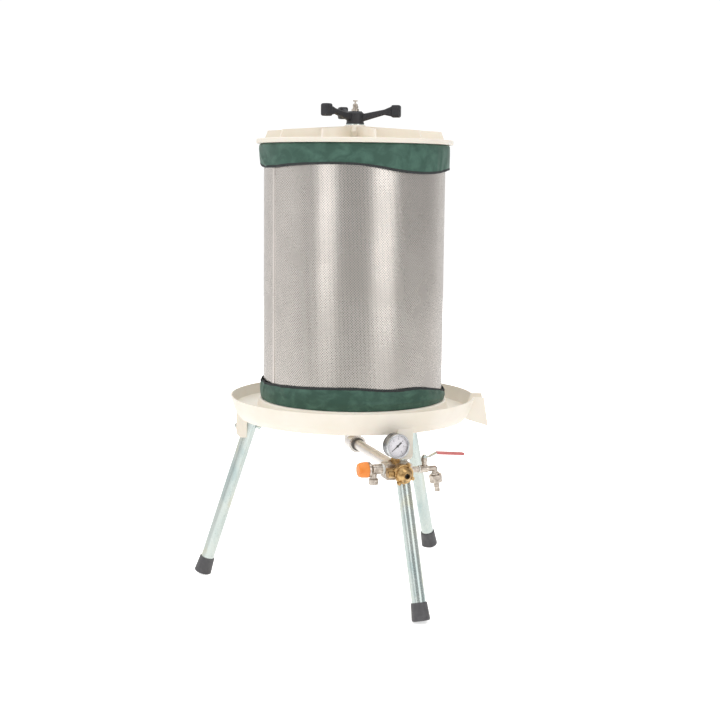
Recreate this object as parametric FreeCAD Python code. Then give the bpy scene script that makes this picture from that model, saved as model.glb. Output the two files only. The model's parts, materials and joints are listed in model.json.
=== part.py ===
import FreeCAD, Part
import math
import os

os.makedirs("parts", exist_ok=True)

Vector = FreeCAD.Vector
ORIGIN = Vector(0, 0, 0)
X_AXIS = Vector(1, 0, 0)
Y_AXIS = Vector(0, 1, 0)
Z_AXIS = Vector(0, 0, 1)

# All sizes are in millimetres and degrees. Heights count from the floor.
# "Reach" is a distance from the upright press axis. An azimuth of 0 points to the front (-Y),
# and a positive azimuth turns towards the right (+X).

# Slope of the chamfers on hexagons
hexagon_chamfer_slope = 0.8

# Gaps between pieces
running_gap = 0.05
seat_gap = 0.1
loose_gap = 0.3

# Tray: trough, pedestal, hub and pouring chute, one moulding
tray_underside = 409.7
tray_height = 51.0
tray_wall = 4.0
tray_rim_radius = 295.0
tray_lean = 16.0
skirt_tuck = 22.0
skirt_knee_height = 14.0
skirt_knee_round = 60.0
trough_depth = 33.0
bed_tilt = 1.0
pedestal_height = 44.0
pedestal_radius = 226.0
pedestal_draft = 6.0
pedestal_rib_count = 6
pedestal_rib_height = 22.0
hub_radius = 45.0
chute_azimuth = 90.0
chute_width = 70.0
chute_lip_overhang = 21.0
chute_toe_overhang = 32.0
chute_toe_drop = 32.0
chute_heel_drop = 4.0

# Legs, their lugs under the tray and their rubber feet
leg_azimuths = {"front": 25.5, "back": 145.5, "left": -94.5}
leg_tilt = 17.9
leg_radius = 16.0
leg_wall = 2.0
leg_bolt_drop = 35.0
leg_bolt_inset = 44.0
leg_bolt_radius = 4.0
leg_bolt_hole_play = 0.2
leg_bolt_head_flats = 13.0
leg_bolt_head_height = 5.3
leg_nut_height = 6.5
leg_bolt_tail = 3.0
lug_width = 38.0
lug_outer_inset = 13.0
lug_inner_inset = 39.0
lug_drop = 60.0
lug_corner = 9.0
foot_length = 41.0
foot_floor = 6.0
foot_top_radius = 18.5
foot_sole_radius = 21.4
foot_sole_round = 4.0
foot_flat_rise = 3.0

# Spindle and what clamps it in the hub
spindle_radius = 10.0
spindle_bore_radius = 4.0
spindle_thread_play = 0.2
hub_gasket_thickness = 2.0
hub_washer_thickness = 2.0
hub_washer_radius = 26.0
hub_nut_flats = 36.0
hub_nut_height = 12.0
column_disc_radius = 40.0
column_disc_height = 22.0
column_port_radius = 3.0
column_port_offset = 15.0

# Bladder and its two worm drive bands
bladder_radius = 66.0
bladder_wall = 4.0
bladder_neck = 18.0
bladder_shoulder = 26.0
band_width = 10.0
band_thickness = 1.2
band_screw_radius = 4.0
band_screw_length = 22.0

# Basket, its rim wires and the press cloth turned out over both rims
basket_radius = 215.0
basket_height = 601.0
basket_sheet = 1.2
seam_azimuth = -59.0
seam_width = 9.0
seam_thickness = 1.0
rim_wire_radius = 1.9
cloth_thickness = 1.2
cloth_top_reach = 225.5
cloth_top_turn = 60.0
cloth_bottom_reach = 221.0
cloth_bottom_turn = 47.0

# Lid
lid_flange_radius = 233.0
lid_flange_thickness = 11.0
lid_spigot_wall = 6.0
lid_spigot_depth = 12.0
lid_spigot_play = 2.0
lid_rib_count = 11
lid_rib_azimuth = 12.7
lid_rib_thickness = 5.0
lid_rib_height = 19.0
lid_rib_foot_reach = 213.0
lid_rib_top_reach = 206.0
lid_rib_step = 2.5
lid_boss_radius = 33.0
lid_boss_nose_radius = 24.0
lid_boss_height = 34.5
lid_boss_drop = 10.0
lid_bore_play = 3.0
lid_column_gap = 12.0

# Hand nut with its threaded insert and thrust washer
thrust_washer_thickness = 2.0
thrust_washer_radius = 22.0
insert_radius = 14.0
insert_height = 26.0
nut_hub_radius = 20.5
nut_hub_height = 30.0
nut_hub_chamfer = 5.0
nut_flange_radius = 21.5
nut_flange_height = 3.0
nut_arm_count = 3
nut_arm_azimuth = -42.0
nut_arm_width = 12.0
nut_arm_sink = 2.0
nut_arm_chamfer = 2.5
nut_arm_root_low = 7.0
nut_arm_root_high = 24.5
nut_neck_reach = 70.0
nut_neck_low = 21.5
nut_neck_high = 34.0
nut_grip_inner_reach = 87.0
nut_grip_outer_reach = 109.0
nut_grip_width = 22.0
nut_grip_round = 5.0
nut_grip_step = 1.5
nut_grip_low = 15.5
nut_grip_high = 44.5

# Air vent on top of the spindle
vent_collar_radius = 9.0
vent_collar_height = 6.0
vent_radius = 6.0
vent_spout_reach = 7.5
vent_height = 12.0
vent_shank_length = 12.0
vent_stem_radius = 2.0
vent_stem_depth = 8.0
vent_bar_length = 11.0
vent_bar_width = 3.0
vent_bar_height = 3.0
vent_bar_lift = 5.0

# Water line under the tray: elbow, supply pipe and manifold block
line_azimuth = 18.0
elbow_rise = 46.0
elbow_nut_gap = 4.5
elbow_radius = 19.0
elbow_length = 46.0
elbow_passage_radius = 8.0
elbow_bead_radius = 21.0
elbow_bead_width = 7.0
spindle_in_elbow = 32.0
seal_ring_thickness = 4.0
seal_ring_radius = 15.5
pipe_radius = 12.5
pipe_in_elbow = 14.0
pipe_bore_radius = 5.0
pipe_spigot_radius = 7.0
pipe_spigot_length = 12.0
block_inset = 4.0
block_depth = 36.0
block_left = 25.0
block_right = 37.0
block_below = 26.5
block_above = 9.0
block_corner = 4.0

# Pressure gauge
gauge_right = 4.0
gauge_turn = 10.0
gauge_radius = 27.5
gauge_wall = 1.2
gauge_back = 13.5
gauge_back_chamfer = 1.5
gauge_lip = 9.5
gauge_glass_thickness = 2.0
gauge_bezel_thickness = 1.2
gauge_bezel_width = 3.3
gauge_bezel_skirt = 5.0
gauge_bezel_chamfer = 0.6
gauge_dial_height = 6.4
gauge_dial_thickness = 0.6
gauge_stem_flats = 19.0
gauge_stem_height = 10.0
gauge_stem_radius = 5.0
gauge_stem_depth = 9.0
gauge_stem_bore = 1.7
gauge_socket_length = 7.0
gauge_arbor_radius = 0.8
gauge_needle_length = 18.5
gauge_needle_tail = 12.5
gauge_needle_width = 2.6
gauge_needle_tip = 0.6
gauge_needle_tail_width = 4.0
gauge_needle_hub_radius = 2.8
gauge_needle_thickness = 0.5
gauge_needle_angle = 218.0
gauge_frame_width = 14.0
gauge_frame_depth = 4.0
bourdon_radius = 18.0
bourdon_tube_radius = 2.2
bourdon_sweep = 250.0

# Pressure reducer on the front of the block
reducer_right = 10.0
reducer_drop = 10.5
reducer_spigot_radius = 9.0
reducer_spigot_depth = 6.0
reducer_body_radius = 19.0
reducer_body_length = 14.0
reducer_flange_radius = 21.5
reducer_flange_thickness = 3.5
reducer_ear_radius = 4.4
reducer_ear_circle = 22.6
reducer_ear_count = 4
reducer_ear_angle = 62.0
reducer_diaphragm_thickness = 1.0
reducer_bonnet_length = 24.5
reducer_bonnet_foot_radius = 18.8
reducer_bonnet_tip_radius = 8.0
bonnet_edge = 1.0
bonnet_nose_length = 12.0
bonnet_tip_length = 6.0
reducer_chamber_radius = 9.3
reducer_wide_radius = 14.5
reducer_boss_flats = 17.0
reducer_boss_reach = 34.0
adjuster_radius = 6.0
adjuster_length = 6.2
adjuster_recess = 7.0
adjuster_key = 7.5
adjuster_key_depth = 3.5
spring_seat_radius = 9.0
spring_seat_thickness = 2.7
reducer_spring_radius = 6.6
reducer_spring_wire = 1.8
reducer_spring_turns = 3.0
screw_radius = 2.0
screw_head_radius = 3.3
screw_head_height = 2.6
screw_slot = 1.0

# Safety valve on the left of the block
safety_drop = 4.1
safety_thread_radius = 7.0
safety_thread_depth = 8.0
safety_root_radius = 9.5
safety_root_length = 4.0
safety_ring_radius = 12.0
safety_radius = 11.5
safety_length = 26.0
safety_flange_radius = 17.3
safety_flange_length = 10.0
safety_neck_radius = 12.0
safety_neck_length = 8.0
safety_chamber_radius = 8.0
safety_chamber_start = 12.0
safety_chamber_roof = 3.0
safety_inlet_radius = 4.5
safety_outlet_neck_radius = 7.3
safety_outlet_neck_bore = 5.5
safety_outlet_left = 22.8
safety_outlet_neck_drop = 21.2
safety_outlet_radius = 11.2
safety_outlet_bore_radius = 8.2
safety_outlet_length = 12.1
safety_outlet_bore_length = 11.0
safety_cap_radius = 18.0
safety_cap_end_radius = 14.6
safety_cap_length = 23.3
safety_cap_rounding = 2.4
safety_cap_wall = 2.3
safety_cap_corner = 3.22
safety_cap_socket_radius = 4.8
plunger_disc_radius = 6.5
plunger_disc_thickness = 3.0
plunger_rod_radius = 2.0
plunger_rod_length = 38.0
safety_spring_radius = 5.4
safety_spring_wire = 1.5
safety_spring_turns = 4.0

# Water tap on the right of the block
tap_drop = 9.5
nipple_radius = 6.5
nipple_bore_radius = 4.2
nipple_in_block = 8.0
nipple_visible = 21.5
nipple_in_tap = 2.6
tap_ring_radius = 8.6
tap_ring_thickness = 1.8
tap_barrel_radius = 8.0
tap_bead = 0.8
tap_bead_width = 4.0
tap_barrel_length = 18.5
tap_arm_radius = 6.4
tap_arm_length = 36.0
tap_passage_radius = 3.6
tap_ball_radius = 5.2
tap_ball_offset = 11.4
tap_chamber_floor = 1.0
tap_seat_land = 0.7
tap_slot_depth = 1.1
tap_slot_width = 2.4
tap_tongue_length = 4.0
tap_stem_radius = 3.0
tap_neck_radius = 5.8
tap_gland_flats = 13.0
tap_gland_height = 9.0
tap_gland_top = 26.0
tap_stem_top = 32.5
tap_outlet_drop = 10.0
tap_outlet_tilt = 9.0
tap_shoulder_radius = 9.2
tap_shoulder_height = 4.0
tap_thread_radius = 8.0
tap_thread_length = 9.0
lever_thickness = 2.0
lever_hub_radius = 7.0
lever_width = 12.0
lever_bend_start = 10.5
lever_bend_end = 27.7
lever_rise = 8.0
lever_fall = 5.5
lever_length = 94.3
grip_length = 66.0
grip_width = 15.0
grip_thickness = 6.0
grip_round = 2.31
grip_end_wall = 2.0
lever_nut_flats = 9.0
lever_nut_height = 3.3
union_flats = 27.0
union_height = 17.5
union_start_gap = 0.5
union_washer_thickness = 1.5
tail_flange_radius = 7.7
tail_flange_thickness = 2.4
tail_radius = 5.8
tail_bore_radius = 3.6
tail_length = 26.5
tail_barb_count = 2
tail_barb_radius = 6.6
tail_barb_length = 4.0
tail_land = 8.0

# Heights and reaches that follow from the sizes above
tray_base_radius = tray_rim_radius - tray_lean
skirt_foot_radius = tray_rim_radius - skirt_tuck
chute_lip_reach = tray_rim_radius + chute_lip_overhang
chute_toe_reach = tray_rim_radius + chute_toe_overhang
leg_bolt_reach = tray_rim_radius - leg_bolt_inset
lug_outer_reach = tray_rim_radius - lug_outer_inset
lug_inner_reach = tray_rim_radius - lug_inner_inset
block_reach = tray_rim_radius - block_inset
tray_rim = tray_underside + tray_height
trough_floor = tray_rim - trough_depth
pedestal_top = tray_underside + pedestal_height
pedestal_foot_radius = pedestal_radius + pedestal_draft
tray_flare = (tray_rim_radius - tray_base_radius) / tray_height
leg_bolt_height = tray_underside - leg_bolt_drop
leg_slope = math.tan(math.radians(leg_tilt))
foot_centre_height = foot_sole_radius * math.sin(math.radians(leg_tilt)) - foot_flat_rise
cloth_bottom = pedestal_top + loose_gap
basket_bottom = cloth_bottom + cloth_thickness + loose_gap
basket_top = basket_bottom + basket_height
basket_inner_radius = basket_radius - basket_sheet
cloth_outer_radius = basket_inner_radius - loose_gap
cloth_inner_radius = cloth_outer_radius - cloth_thickness
cloth_top = basket_top + loose_gap + cloth_thickness
lid_bottom = cloth_top + loose_gap
lid_flange_top = lid_bottom + lid_flange_thickness
lid_boss_top = lid_flange_top + lid_boss_height
lid_boss_bottom = lid_bottom - lid_boss_drop
lid_bore_radius = spindle_radius + lid_bore_play
column_bottom = pedestal_top + hub_gasket_thickness
column_top = lid_boss_bottom - lid_column_gap
nut_bottom = lid_boss_top + thrust_washer_thickness
nut_bore_radius = spindle_radius + running_gap
spindle_top = nut_bottom + nut_hub_height
hub_nut_bottom = tray_underside - hub_washer_thickness - hub_nut_height
elbow_top = hub_nut_bottom - elbow_nut_gap
line_height = elbow_top - elbow_rise
spindle_bottom = elbow_top - spindle_in_elbow
block_front = block_reach + block_depth
block_middle = block_reach + block_depth / 2
block_top = line_height + block_above
reducer_height = line_height - reducer_drop
safety_height = line_height - safety_drop
tap_height = line_height - tap_drop
tap_start = block_right + nipple_visible + tap_ring_thickness
tap_ball_right = tap_start + tap_ball_offset
tap_arm_right = tap_start + tap_arm_length


# Drawing helpers

def polygon_face(corners):
    """Flat face through the given points."""
    return Part.Face(Part.makePolygon(corners + [corners[0]]))


def revolved(profile):
    """Turned solid about the upright axis from (radius, height) corners."""
    return polygon_face([Vector(radius, 0, height) for radius, height in profile]).revolve(
        ORIGIN, Z_AXIS, 360)


def side_plate(profile, width):
    """Plate of the given width, centred on the front plane, from (reach, height) corners."""
    corners = [Vector(-width / 2, -reach, height) for reach, height in profile]
    return polygon_face(corners).extrude(Vector(width, 0, 0))


def block(right_low, right_high, reach_low, reach_high, low, high):
    """Box between two distances to the right, two reaches and two heights."""
    return Part.makeBox(right_high - right_low, reach_high - reach_low, high - low,
                        Vector(right_low, -reach_high, low))


def rod(radius, low, high):
    """Upright rod on the axis."""
    return Part.makeCylinder(radius, high - low, Vector(0, 0, low))


def ring(outer_radius, inner_radius, low, high):
    """Upright tube on the axis."""
    return rod(outer_radius, low, high).cut(rod(inner_radius, low, high))


def hexagon(flats, low, high):
    """Upright hexagonal bar on the axis, with a flat to the front."""
    corner_radius = flats / math.sqrt(3)
    corners = []
    for step in range(6):
        angle = math.radians(60 * step)
        corners.append(Vector(corner_radius * math.cos(angle), corner_radius * math.sin(angle), low))
    return polygon_face(corners).extrude(Vector(0, 0, high - low))


def chamfered_hexagon(flats, low, high):
    """Hexagonal nut or head with the usual turned chamfer on both ends."""
    corner_radius = flats / math.sqrt(3)
    drop = (corner_radius - flats / 2) * hexagon_chamfer_slope
    turned = revolved([(0, low), (flats / 2, low), (corner_radius + seat_gap, low + drop),
                       (corner_radius + seat_gap, high - drop), (flats / 2, high), (0, high)])
    return hexagon(flats, low, high).common(turned)


def pointing_out(shape):
    """Turns a shape built upwards so that it points to the front."""
    shape.rotate(ORIGIN, X_AXIS, 90)
    return shape


def pointing_right(shape):
    """Turns a shape built upwards so that it points to the right."""
    shape.rotate(ORIGIN, Y_AXIS, 90)
    return shape


def pointing_left(shape):
    """Turns a shape built upwards so that it points to the left."""
    shape.rotate(ORIGIN, Y_AXIS, -90)
    return shape


def moved(shape, right, reach, height):
    """Moves a shape to the right, to the front and up."""
    shape.translate(Vector(right, -reach, height))
    return shape


def turned_to(shape, azimuth):
    """Turns a shape that was built to the front round to an azimuth."""
    shape.rotate(ORIGIN, Z_AXIS, azimuth)
    return shape


def fused(first, *others):
    """One solid from pieces that overlap or touch."""
    return first.fuse(list(others)).removeSplitter()


def circle_edges(shape, radius, height):
    """Round edges of a turned shape at one radius and height."""
    found = []
    for edge in shape.Edges:
        middle = edge.valueAt((edge.FirstParameter + edge.LastParameter) / 2)
        if abs(math.hypot(middle.x, middle.y) - radius) < 0.01 and abs(middle.z - height) < 0.01:
            found.append(edge)
    return found


def coil(radius, wire, turns, low, high):
    """Compression spring of square wire between two heights."""
    rise = (high - low - wire) / turns
    helix = Part.makeHelix(rise, rise * turns, radius)
    helix.translate(Vector(0, 0, low + wire / 2))
    half = wire / 2
    corners = [Vector(radius - half, 0, low), Vector(radius + half, 0, low),
               Vector(radius + half, 0, low + wire), Vector(radius - half, 0, low + wire)]
    outline = Part.makePolygon(corners + [corners[0]])
    return Part.Wire(helix).makePipeShell([outline], True, True)


# Tray

def wall_reach(height):
    """Reach of the tray's outer wall at a height."""
    return tray_base_radius + tray_flare * (height - tray_underside)


def pedestal_reach(height):
    """Reach of the pedestal's outer wall at a height."""
    return pedestal_foot_radius - pedestal_draft * (height - trough_floor) / (pedestal_top - trough_floor)


def trough_space():
    """Open space of the trough above its bed, which slopes down to the chute."""
    low = trough_floor - tray_wall
    space = revolved([
        (pedestal_radius, tray_rim),
        (pedestal_radius, pedestal_top),
        (pedestal_reach(low), low),
        (wall_reach(low) - tray_wall, low),
        (tray_rim_radius - tray_wall, tray_rim)])
    side = 4 * tray_rim_radius
    bed = Part.makeBox(side, side, side, Vector(-side / 2, -side / 2, -side))
    bed.rotate(ORIGIN, Y_AXIS, bed_tilt)
    return space.cut(moved(bed, wall_reach(low), 0, trough_floor))


def tray_shell():
    """Skirt, trough, pedestal and hub as one turned wall, open underneath."""
    knee = tray_underside + skirt_knee_height
    under = trough_floor - tray_wall
    shell = revolved([
        (tray_rim_radius, tray_rim),
        (wall_reach(knee), knee),
        (skirt_foot_radius, tray_underside),
        (skirt_foot_radius - tray_wall, tray_underside),
        (wall_reach(knee) - tray_wall, knee),
        (wall_reach(under) - tray_wall, under),
        (pedestal_reach(under) - tray_wall, under),
        (pedestal_radius - tray_wall, pedestal_top - tray_wall),
        (hub_radius, pedestal_top - tray_wall),
        (hub_radius, tray_underside),
        (nut_bore_radius, tray_underside),
        (nut_bore_radius, pedestal_top),
        (pedestal_radius, pedestal_top),
        (pedestal_radius, tray_rim)])
    shell = shell.makeFillet(skirt_knee_round, circle_edges(shell, wall_reach(knee), knee))
    shell = shell.cut(trough_space())
    return shell.makeFillet(tray_wall, circle_edges(shell, pedestal_radius, pedestal_top))


def leg_lug():
    """Lug that hangs under the trough behind the skirt and carries a leg."""
    low = tray_underside - lug_drop
    high = trough_floor - tray_wall / 2
    return side_plate([
        (lug_inner_reach, low),
        (lug_outer_reach - lug_corner, low),
        (lug_outer_reach, low + lug_corner),
        (lug_outer_reach, high),
        (lug_inner_reach, high)], lug_width)


def chute_floor(reach):
    """Height of the inside of the chute's floor at a reach."""
    start = wall_reach(trough_floor) - tray_wall
    return trough_floor - chute_toe_drop * (reach - start) / (chute_toe_reach - start)


def chute_body():
    """Outside of the pouring chute, solid, at the front."""
    start = tray_base_radius - 2 * tray_wall
    return side_plate([
        (start, tray_rim),
        (chute_lip_reach, tray_rim),
        (chute_toe_reach, chute_floor(chute_toe_reach) - tray_wall),
        (tray_base_radius, tray_underside - chute_heel_drop),
        (start, tray_underside)], chute_width)


def chute_channel():
    """Space that the juice runs through, open at the top and at the toe."""
    start = wall_reach(trough_floor) - tray_wall
    beyond = chute_toe_reach + tray_wall
    inside = start - tray_wall
    return side_plate([
        (inside, trough_floor),
        (start, trough_floor),
        (beyond, chute_floor(beyond)),
        (beyond, tray_rim + tray_wall),
        (inside, tray_rim + tray_wall)], chute_width - 2 * tray_wall)


def pedestal_rib():
    """Stiffening rib between the hub and the pedestal wall, at the front."""
    high = pedestal_top - tray_wall / 2
    low = pedestal_top - tray_wall - pedestal_rib_height
    return side_plate([
        (hub_radius - 1, low),
        (pedestal_reach(low) - tray_wall / 2, low),
        (pedestal_reach(high) - tray_wall / 2, high),
        (hub_radius - 1, high)], tray_wall)


def make_tray():
    """The whole tray moulding."""
    additions = []
    for azimuth in leg_azimuths.values():
        additions.append(turned_to(leg_lug(), azimuth))
    additions.append(turned_to(chute_body(), chute_azimuth).cut(trough_space()))
    for step in range(pedestal_rib_count):
        additions.append(turned_to(pedestal_rib(), step * 360.0 / pedestal_rib_count))
    tray = fused(tray_shell(), *additions)
    cuts = [turned_to(chute_channel(), chute_azimuth)]
    for azimuth in leg_azimuths.values():
        cuts.append(turned_to(leg_bar(leg_radius + seat_gap, tray_underside), azimuth))
        cuts.append(turned_to(leg_bolt_hole(), azimuth))
    return tray.cut(cuts).removeSplitter()


# Legs

def leg_reach(height):
    """Reach of a leg's axis at a height."""
    return leg_bolt_reach + (leg_bolt_height - height) * leg_slope


def along_leg(shape):
    """Places a shape built upwards from the middle of the foot's sole."""
    shape.rotate(ORIGIN, X_AXIS, -leg_tilt)
    return moved(shape, 0, leg_reach(foot_centre_height), foot_centre_height)


def leg_bar(radius, top, bottom_gap=0.0):
    """Round bar on a leg's axis, cut off level at the top."""
    length = tray_underside / math.cos(math.radians(leg_tilt)) + leg_radius
    bar = along_leg(rod(radius, foot_floor + bottom_gap, length))
    side = 4 * (tray_rim_radius + tray_underside)
    above = Part.makeBox(side, side, side, Vector(-side / 2, -side / 2, top))
    return bar.cut(above)


def leg_bolt_hole():
    """Level hole through the lug and both walls of the tube."""
    hole = rod(leg_bolt_radius + leg_bolt_hole_play, 0, tray_rim_radius)
    return moved(pointing_out(hole), 0, leg_bolt_reach / 2, leg_bolt_height)


def make_leg(azimuth):
    """Steel tube, cut level under the tray."""
    top = tray_underside - seat_gap
    tube = leg_bar(leg_radius, top).cut(leg_bar(leg_radius - leg_wall, tray_underside))
    return turned_to(tube.cut(leg_bolt_hole()), azimuth)


def make_foot(azimuth):
    """Rubber ferrule with a small level flat where it meets the floor."""
    ferrule = revolved([
        (0, 0),
        (foot_sole_radius, 0),
        (foot_top_radius, foot_length),
        (leg_radius + running_gap, foot_length),
        (leg_radius + running_gap, foot_floor),
        (0, foot_floor)])
    ferrule = ferrule.makeFillet(foot_sole_round, circle_edges(ferrule, foot_sole_radius, 0))
    ferrule = along_leg(ferrule)
    side = 4 * tray_rim_radius
    under = Part.makeBox(side, side, foot_length, Vector(-side / 2, -side, -foot_length))
    return turned_to(ferrule.cut(under), azimuth)


def leg_nut_reach():
    """Reach of the nut's face, clear of the slanted tube."""
    inner_face = leg_bolt_reach - leg_radius / math.cos(math.radians(leg_tilt))
    return inner_face - leg_bolt_head_flats / math.sqrt(3) * leg_slope - seat_gap


def make_leg_bolt(azimuth):
    """Hexagon head bolt that passes outwards-in through lug and tube."""
    shank_start = leg_nut_reach() - leg_nut_height - leg_bolt_tail
    shank = rod(leg_bolt_radius, shank_start, lug_outer_reach)
    head = chamfered_hexagon(leg_bolt_head_flats, lug_outer_reach,
                             lug_outer_reach + leg_bolt_head_height)
    bolt = moved(pointing_out(fused(shank, head)), 0, 0, leg_bolt_height)
    return turned_to(bolt, azimuth)


def make_leg_nut(azimuth):
    """Nut on the inner side of the tube."""
    face = leg_nut_reach()
    nut = chamfered_hexagon(leg_bolt_head_flats, face - leg_nut_height, face)
    nut = nut.cut(rod(leg_bolt_radius + running_gap, face - leg_nut_height, face))
    return turned_to(moved(pointing_out(nut), 0, 0, leg_bolt_height), azimuth)


# Centre column

def make_spindle():
    """Hollow spindle with the two discs that carry the bladder."""
    bar = rod(spindle_radius, spindle_bottom, spindle_top)
    lower = rod(column_disc_radius, column_bottom, column_bottom + column_disc_height)
    upper = rod(column_disc_radius, column_top - column_disc_height, column_top)
    spindle = fused(bar, lower, upper).cut(rod(spindle_bore_radius, spindle_bottom, spindle_top))
    low_port = column_bottom + column_disc_height + column_port_offset
    high_port = column_top - column_disc_height - column_port_offset
    ports = []
    for height in (low_port, high_port):
        port = rod(column_port_radius, -spindle_radius * 2, spindle_radius * 2)
        ports.append(moved(pointing_out(port), 0, 0, height))
    return spindle.cut(ports)


def make_hub_gasket():
    """Flat rubber ring between the lower disc and the pedestal."""
    return ring(column_disc_radius, spindle_radius + seat_gap, pedestal_top, column_bottom)


def make_hub_washer():
    """Washer under the tray hub."""
    return ring(hub_washer_radius, spindle_radius + spindle_thread_play,
                tray_underside - hub_washer_thickness, tray_underside)


def make_hub_nut():
    """Large nut that pulls the spindle down on the hub."""
    high = tray_underside - hub_washer_thickness
    nut = chamfered_hexagon(hub_nut_flats, hub_nut_bottom, high)
    return nut.cut(rod(nut_bore_radius, hub_nut_bottom, high))


def make_bladder():
    """Slack rubber tube with a neck over each disc."""
    low = column_bottom + (column_disc_height - bladder_neck) / 2
    high = column_top - (column_disc_height - bladder_neck) / 2
    neck_inside = column_disc_radius + seat_gap
    neck_outside = neck_inside + bladder_wall
    inside = bladder_radius - bladder_wall
    low_neck = low + bladder_neck
    high_neck = high - bladder_neck
    bladder = revolved([
        (neck_inside, low),
        (neck_outside, low),
        (neck_outside, low_neck),
        (bladder_radius, low_neck + bladder_shoulder),
        (bladder_radius, high_neck - bladder_shoulder),
        (neck_outside, high_neck),
        (neck_outside, high),
        (neck_inside, high),
        (neck_inside, high_neck),
        (inside, high_neck - bladder_shoulder),
        (inside, low_neck + bladder_shoulder),
        (neck_inside, low_neck)])
    shoulders = []
    for height in (low_neck + bladder_shoulder, high_neck - bladder_shoulder):
        shoulders += circle_edges(bladder, bladder_radius, height)
        shoulders += circle_edges(bladder, inside, height)
    return bladder.makeFillet(bladder_shoulder / 2, shoulders)


def make_bladder_clamps():
    """Two worm drive bands round the bladder's necks, each with its screw housing."""
    inside = column_disc_radius + seat_gap + bladder_wall + running_gap
    outside = inside + band_thickness
    middles = (column_bottom + column_disc_height / 2, column_top - column_disc_height / 2)
    clamps = []
    for middle in middles:
        low = middle - band_width / 2
        band = ring(outside, inside, low, low + band_width)
        housing = block(-band_screw_length / 3, band_screw_length / 3,
                        inside + band_thickness / 2, outside + 2 * band_screw_radius, low, low + band_width)
        housing = housing.cut(rod(inside, low, low + band_width))
        screw = rod(band_screw_radius, -band_screw_length / 2, band_screw_length / 2)
        screw = moved(pointing_right(screw), 0, outside + band_screw_radius, middle)
        clamps.append(fused(band, housing, screw))
    return Part.makeCompound(clamps)


# Basket and press cloth

def make_basket():
    """Rolled sheet with the proud strip of its lapped seam."""
    sheet = ring(basket_radius, basket_inner_radius, basket_bottom, basket_top)
    margin = 2 * rim_wire_radius + seat_gap
    strip = block(-seam_width / 2, seam_width / 2, 0, basket_radius + seam_thickness,
                  basket_bottom + margin, basket_top - margin)
    strip = strip.common(ring(basket_radius + seam_thickness, basket_radius - basket_sheet / 2,
                              basket_bottom, basket_top))
    return fused(sheet, turned_to(strip, seam_azimuth))


def make_basket_rims():
    """Wire ring round each end of the sheet."""
    rims = []
    for height in (basket_bottom + rim_wire_radius, basket_top - rim_wire_radius):
        rims.append(Part.makeTorus(basket_radius + rim_wire_radius, rim_wire_radius, Vector(0, 0, height)))
    return Part.makeCompound(rims)


def make_press_cloth():
    """Sleeve inside the basket, turned out and down at the top and out and up at the bottom."""
    top_hem = cloth_top - cloth_top_turn
    bottom_hem = cloth_bottom + cloth_bottom_turn
    return revolved([
        (cloth_inner_radius, cloth_bottom),
        (cloth_bottom_reach - cloth_thickness, cloth_bottom),
        (cloth_bottom_reach, cloth_bottom + cloth_thickness),
        (cloth_bottom_reach, bottom_hem),
        (cloth_bottom_reach - cloth_thickness, bottom_hem),
        (cloth_bottom_reach - cloth_thickness, cloth_bottom + cloth_thickness),
        (cloth_outer_radius, cloth_bottom + cloth_thickness),
        (cloth_outer_radius, cloth_top - cloth_thickness),
        (cloth_top_reach - 3 * cloth_thickness, cloth_top - cloth_thickness),
        (cloth_top_reach - cloth_thickness, cloth_top - 4 * cloth_thickness),
        (cloth_top_reach - cloth_thickness, top_hem),
        (cloth_top_reach, top_hem),
        (cloth_top_reach, cloth_top - 3.5 * cloth_thickness),
        (cloth_top_reach - 2.5 * cloth_thickness, cloth_top),
        (cloth_inner_radius, cloth_top)])


# Lid

def lid_rib(azimuth):
    """Radial rib on top of the flange that rises to the boss, with a sloping outer end."""
    foot = lid_flange_top - lid_flange_thickness / 2
    high = lid_flange_top + lid_rib_height
    inside = lid_boss_nose_radius - lid_rib_thickness
    plate = side_plate([
        (inside, foot),
        (lid_rib_foot_reach, foot),
        (lid_rib_foot_reach, lid_flange_top),
        (lid_rib_top_reach, high),
        (inside, lid_boss_top - lid_rib_step)], lid_rib_thickness)
    return turned_to(plate, azimuth)


def make_lid():
    """Flange with spigot, tapered boss and open radial ribs."""
    spigot_radius = cloth_inner_radius - lid_spigot_play
    spigot_bottom = lid_bottom - lid_spigot_depth
    body = revolved([
        (lid_bore_radius, lid_boss_bottom),
        (lid_boss_radius, lid_boss_bottom),
        (lid_boss_radius, lid_bottom),
        (spigot_radius - lid_spigot_wall, lid_bottom),
        (spigot_radius - lid_spigot_wall, spigot_bottom),
        (spigot_radius - 2, spigot_bottom),
        (spigot_radius, spigot_bottom + 3),
        (spigot_radius, lid_bottom),
        (lid_flange_radius, lid_bottom),
        (lid_flange_radius, lid_flange_top),
        (lid_boss_radius, lid_flange_top),
        (lid_boss_radius, lid_flange_top + lid_rib_height),
        (lid_boss_nose_radius, lid_boss_top),
        (lid_bore_radius, lid_boss_top)])
    edges = circle_edges(body, lid_flange_radius, lid_bottom) + circle_edges(
        body, lid_flange_radius, lid_flange_top)
    body = body.makeFillet(lid_flange_thickness / 4, edges)
    ribs = []
    for step in range(lid_rib_count):
        ribs.append(lid_rib(lid_rib_azimuth + step * 360.0 / lid_rib_count))
    lid = fused(body, *ribs)
    return lid.cut(rod(lid_bore_radius, lid_boss_bottom, lid_boss_top))


# Hand nut

def make_thrust_washer():
    """Steel washer between the lid's boss and the hand nut."""
    return ring(thrust_washer_radius, nut_bore_radius, lid_boss_top, nut_bottom)


def make_thread_insert():
    """Metal insert moulded into the hand nut."""
    return ring(insert_radius, nut_bore_radius, nut_bottom, nut_bottom + insert_height)


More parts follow.
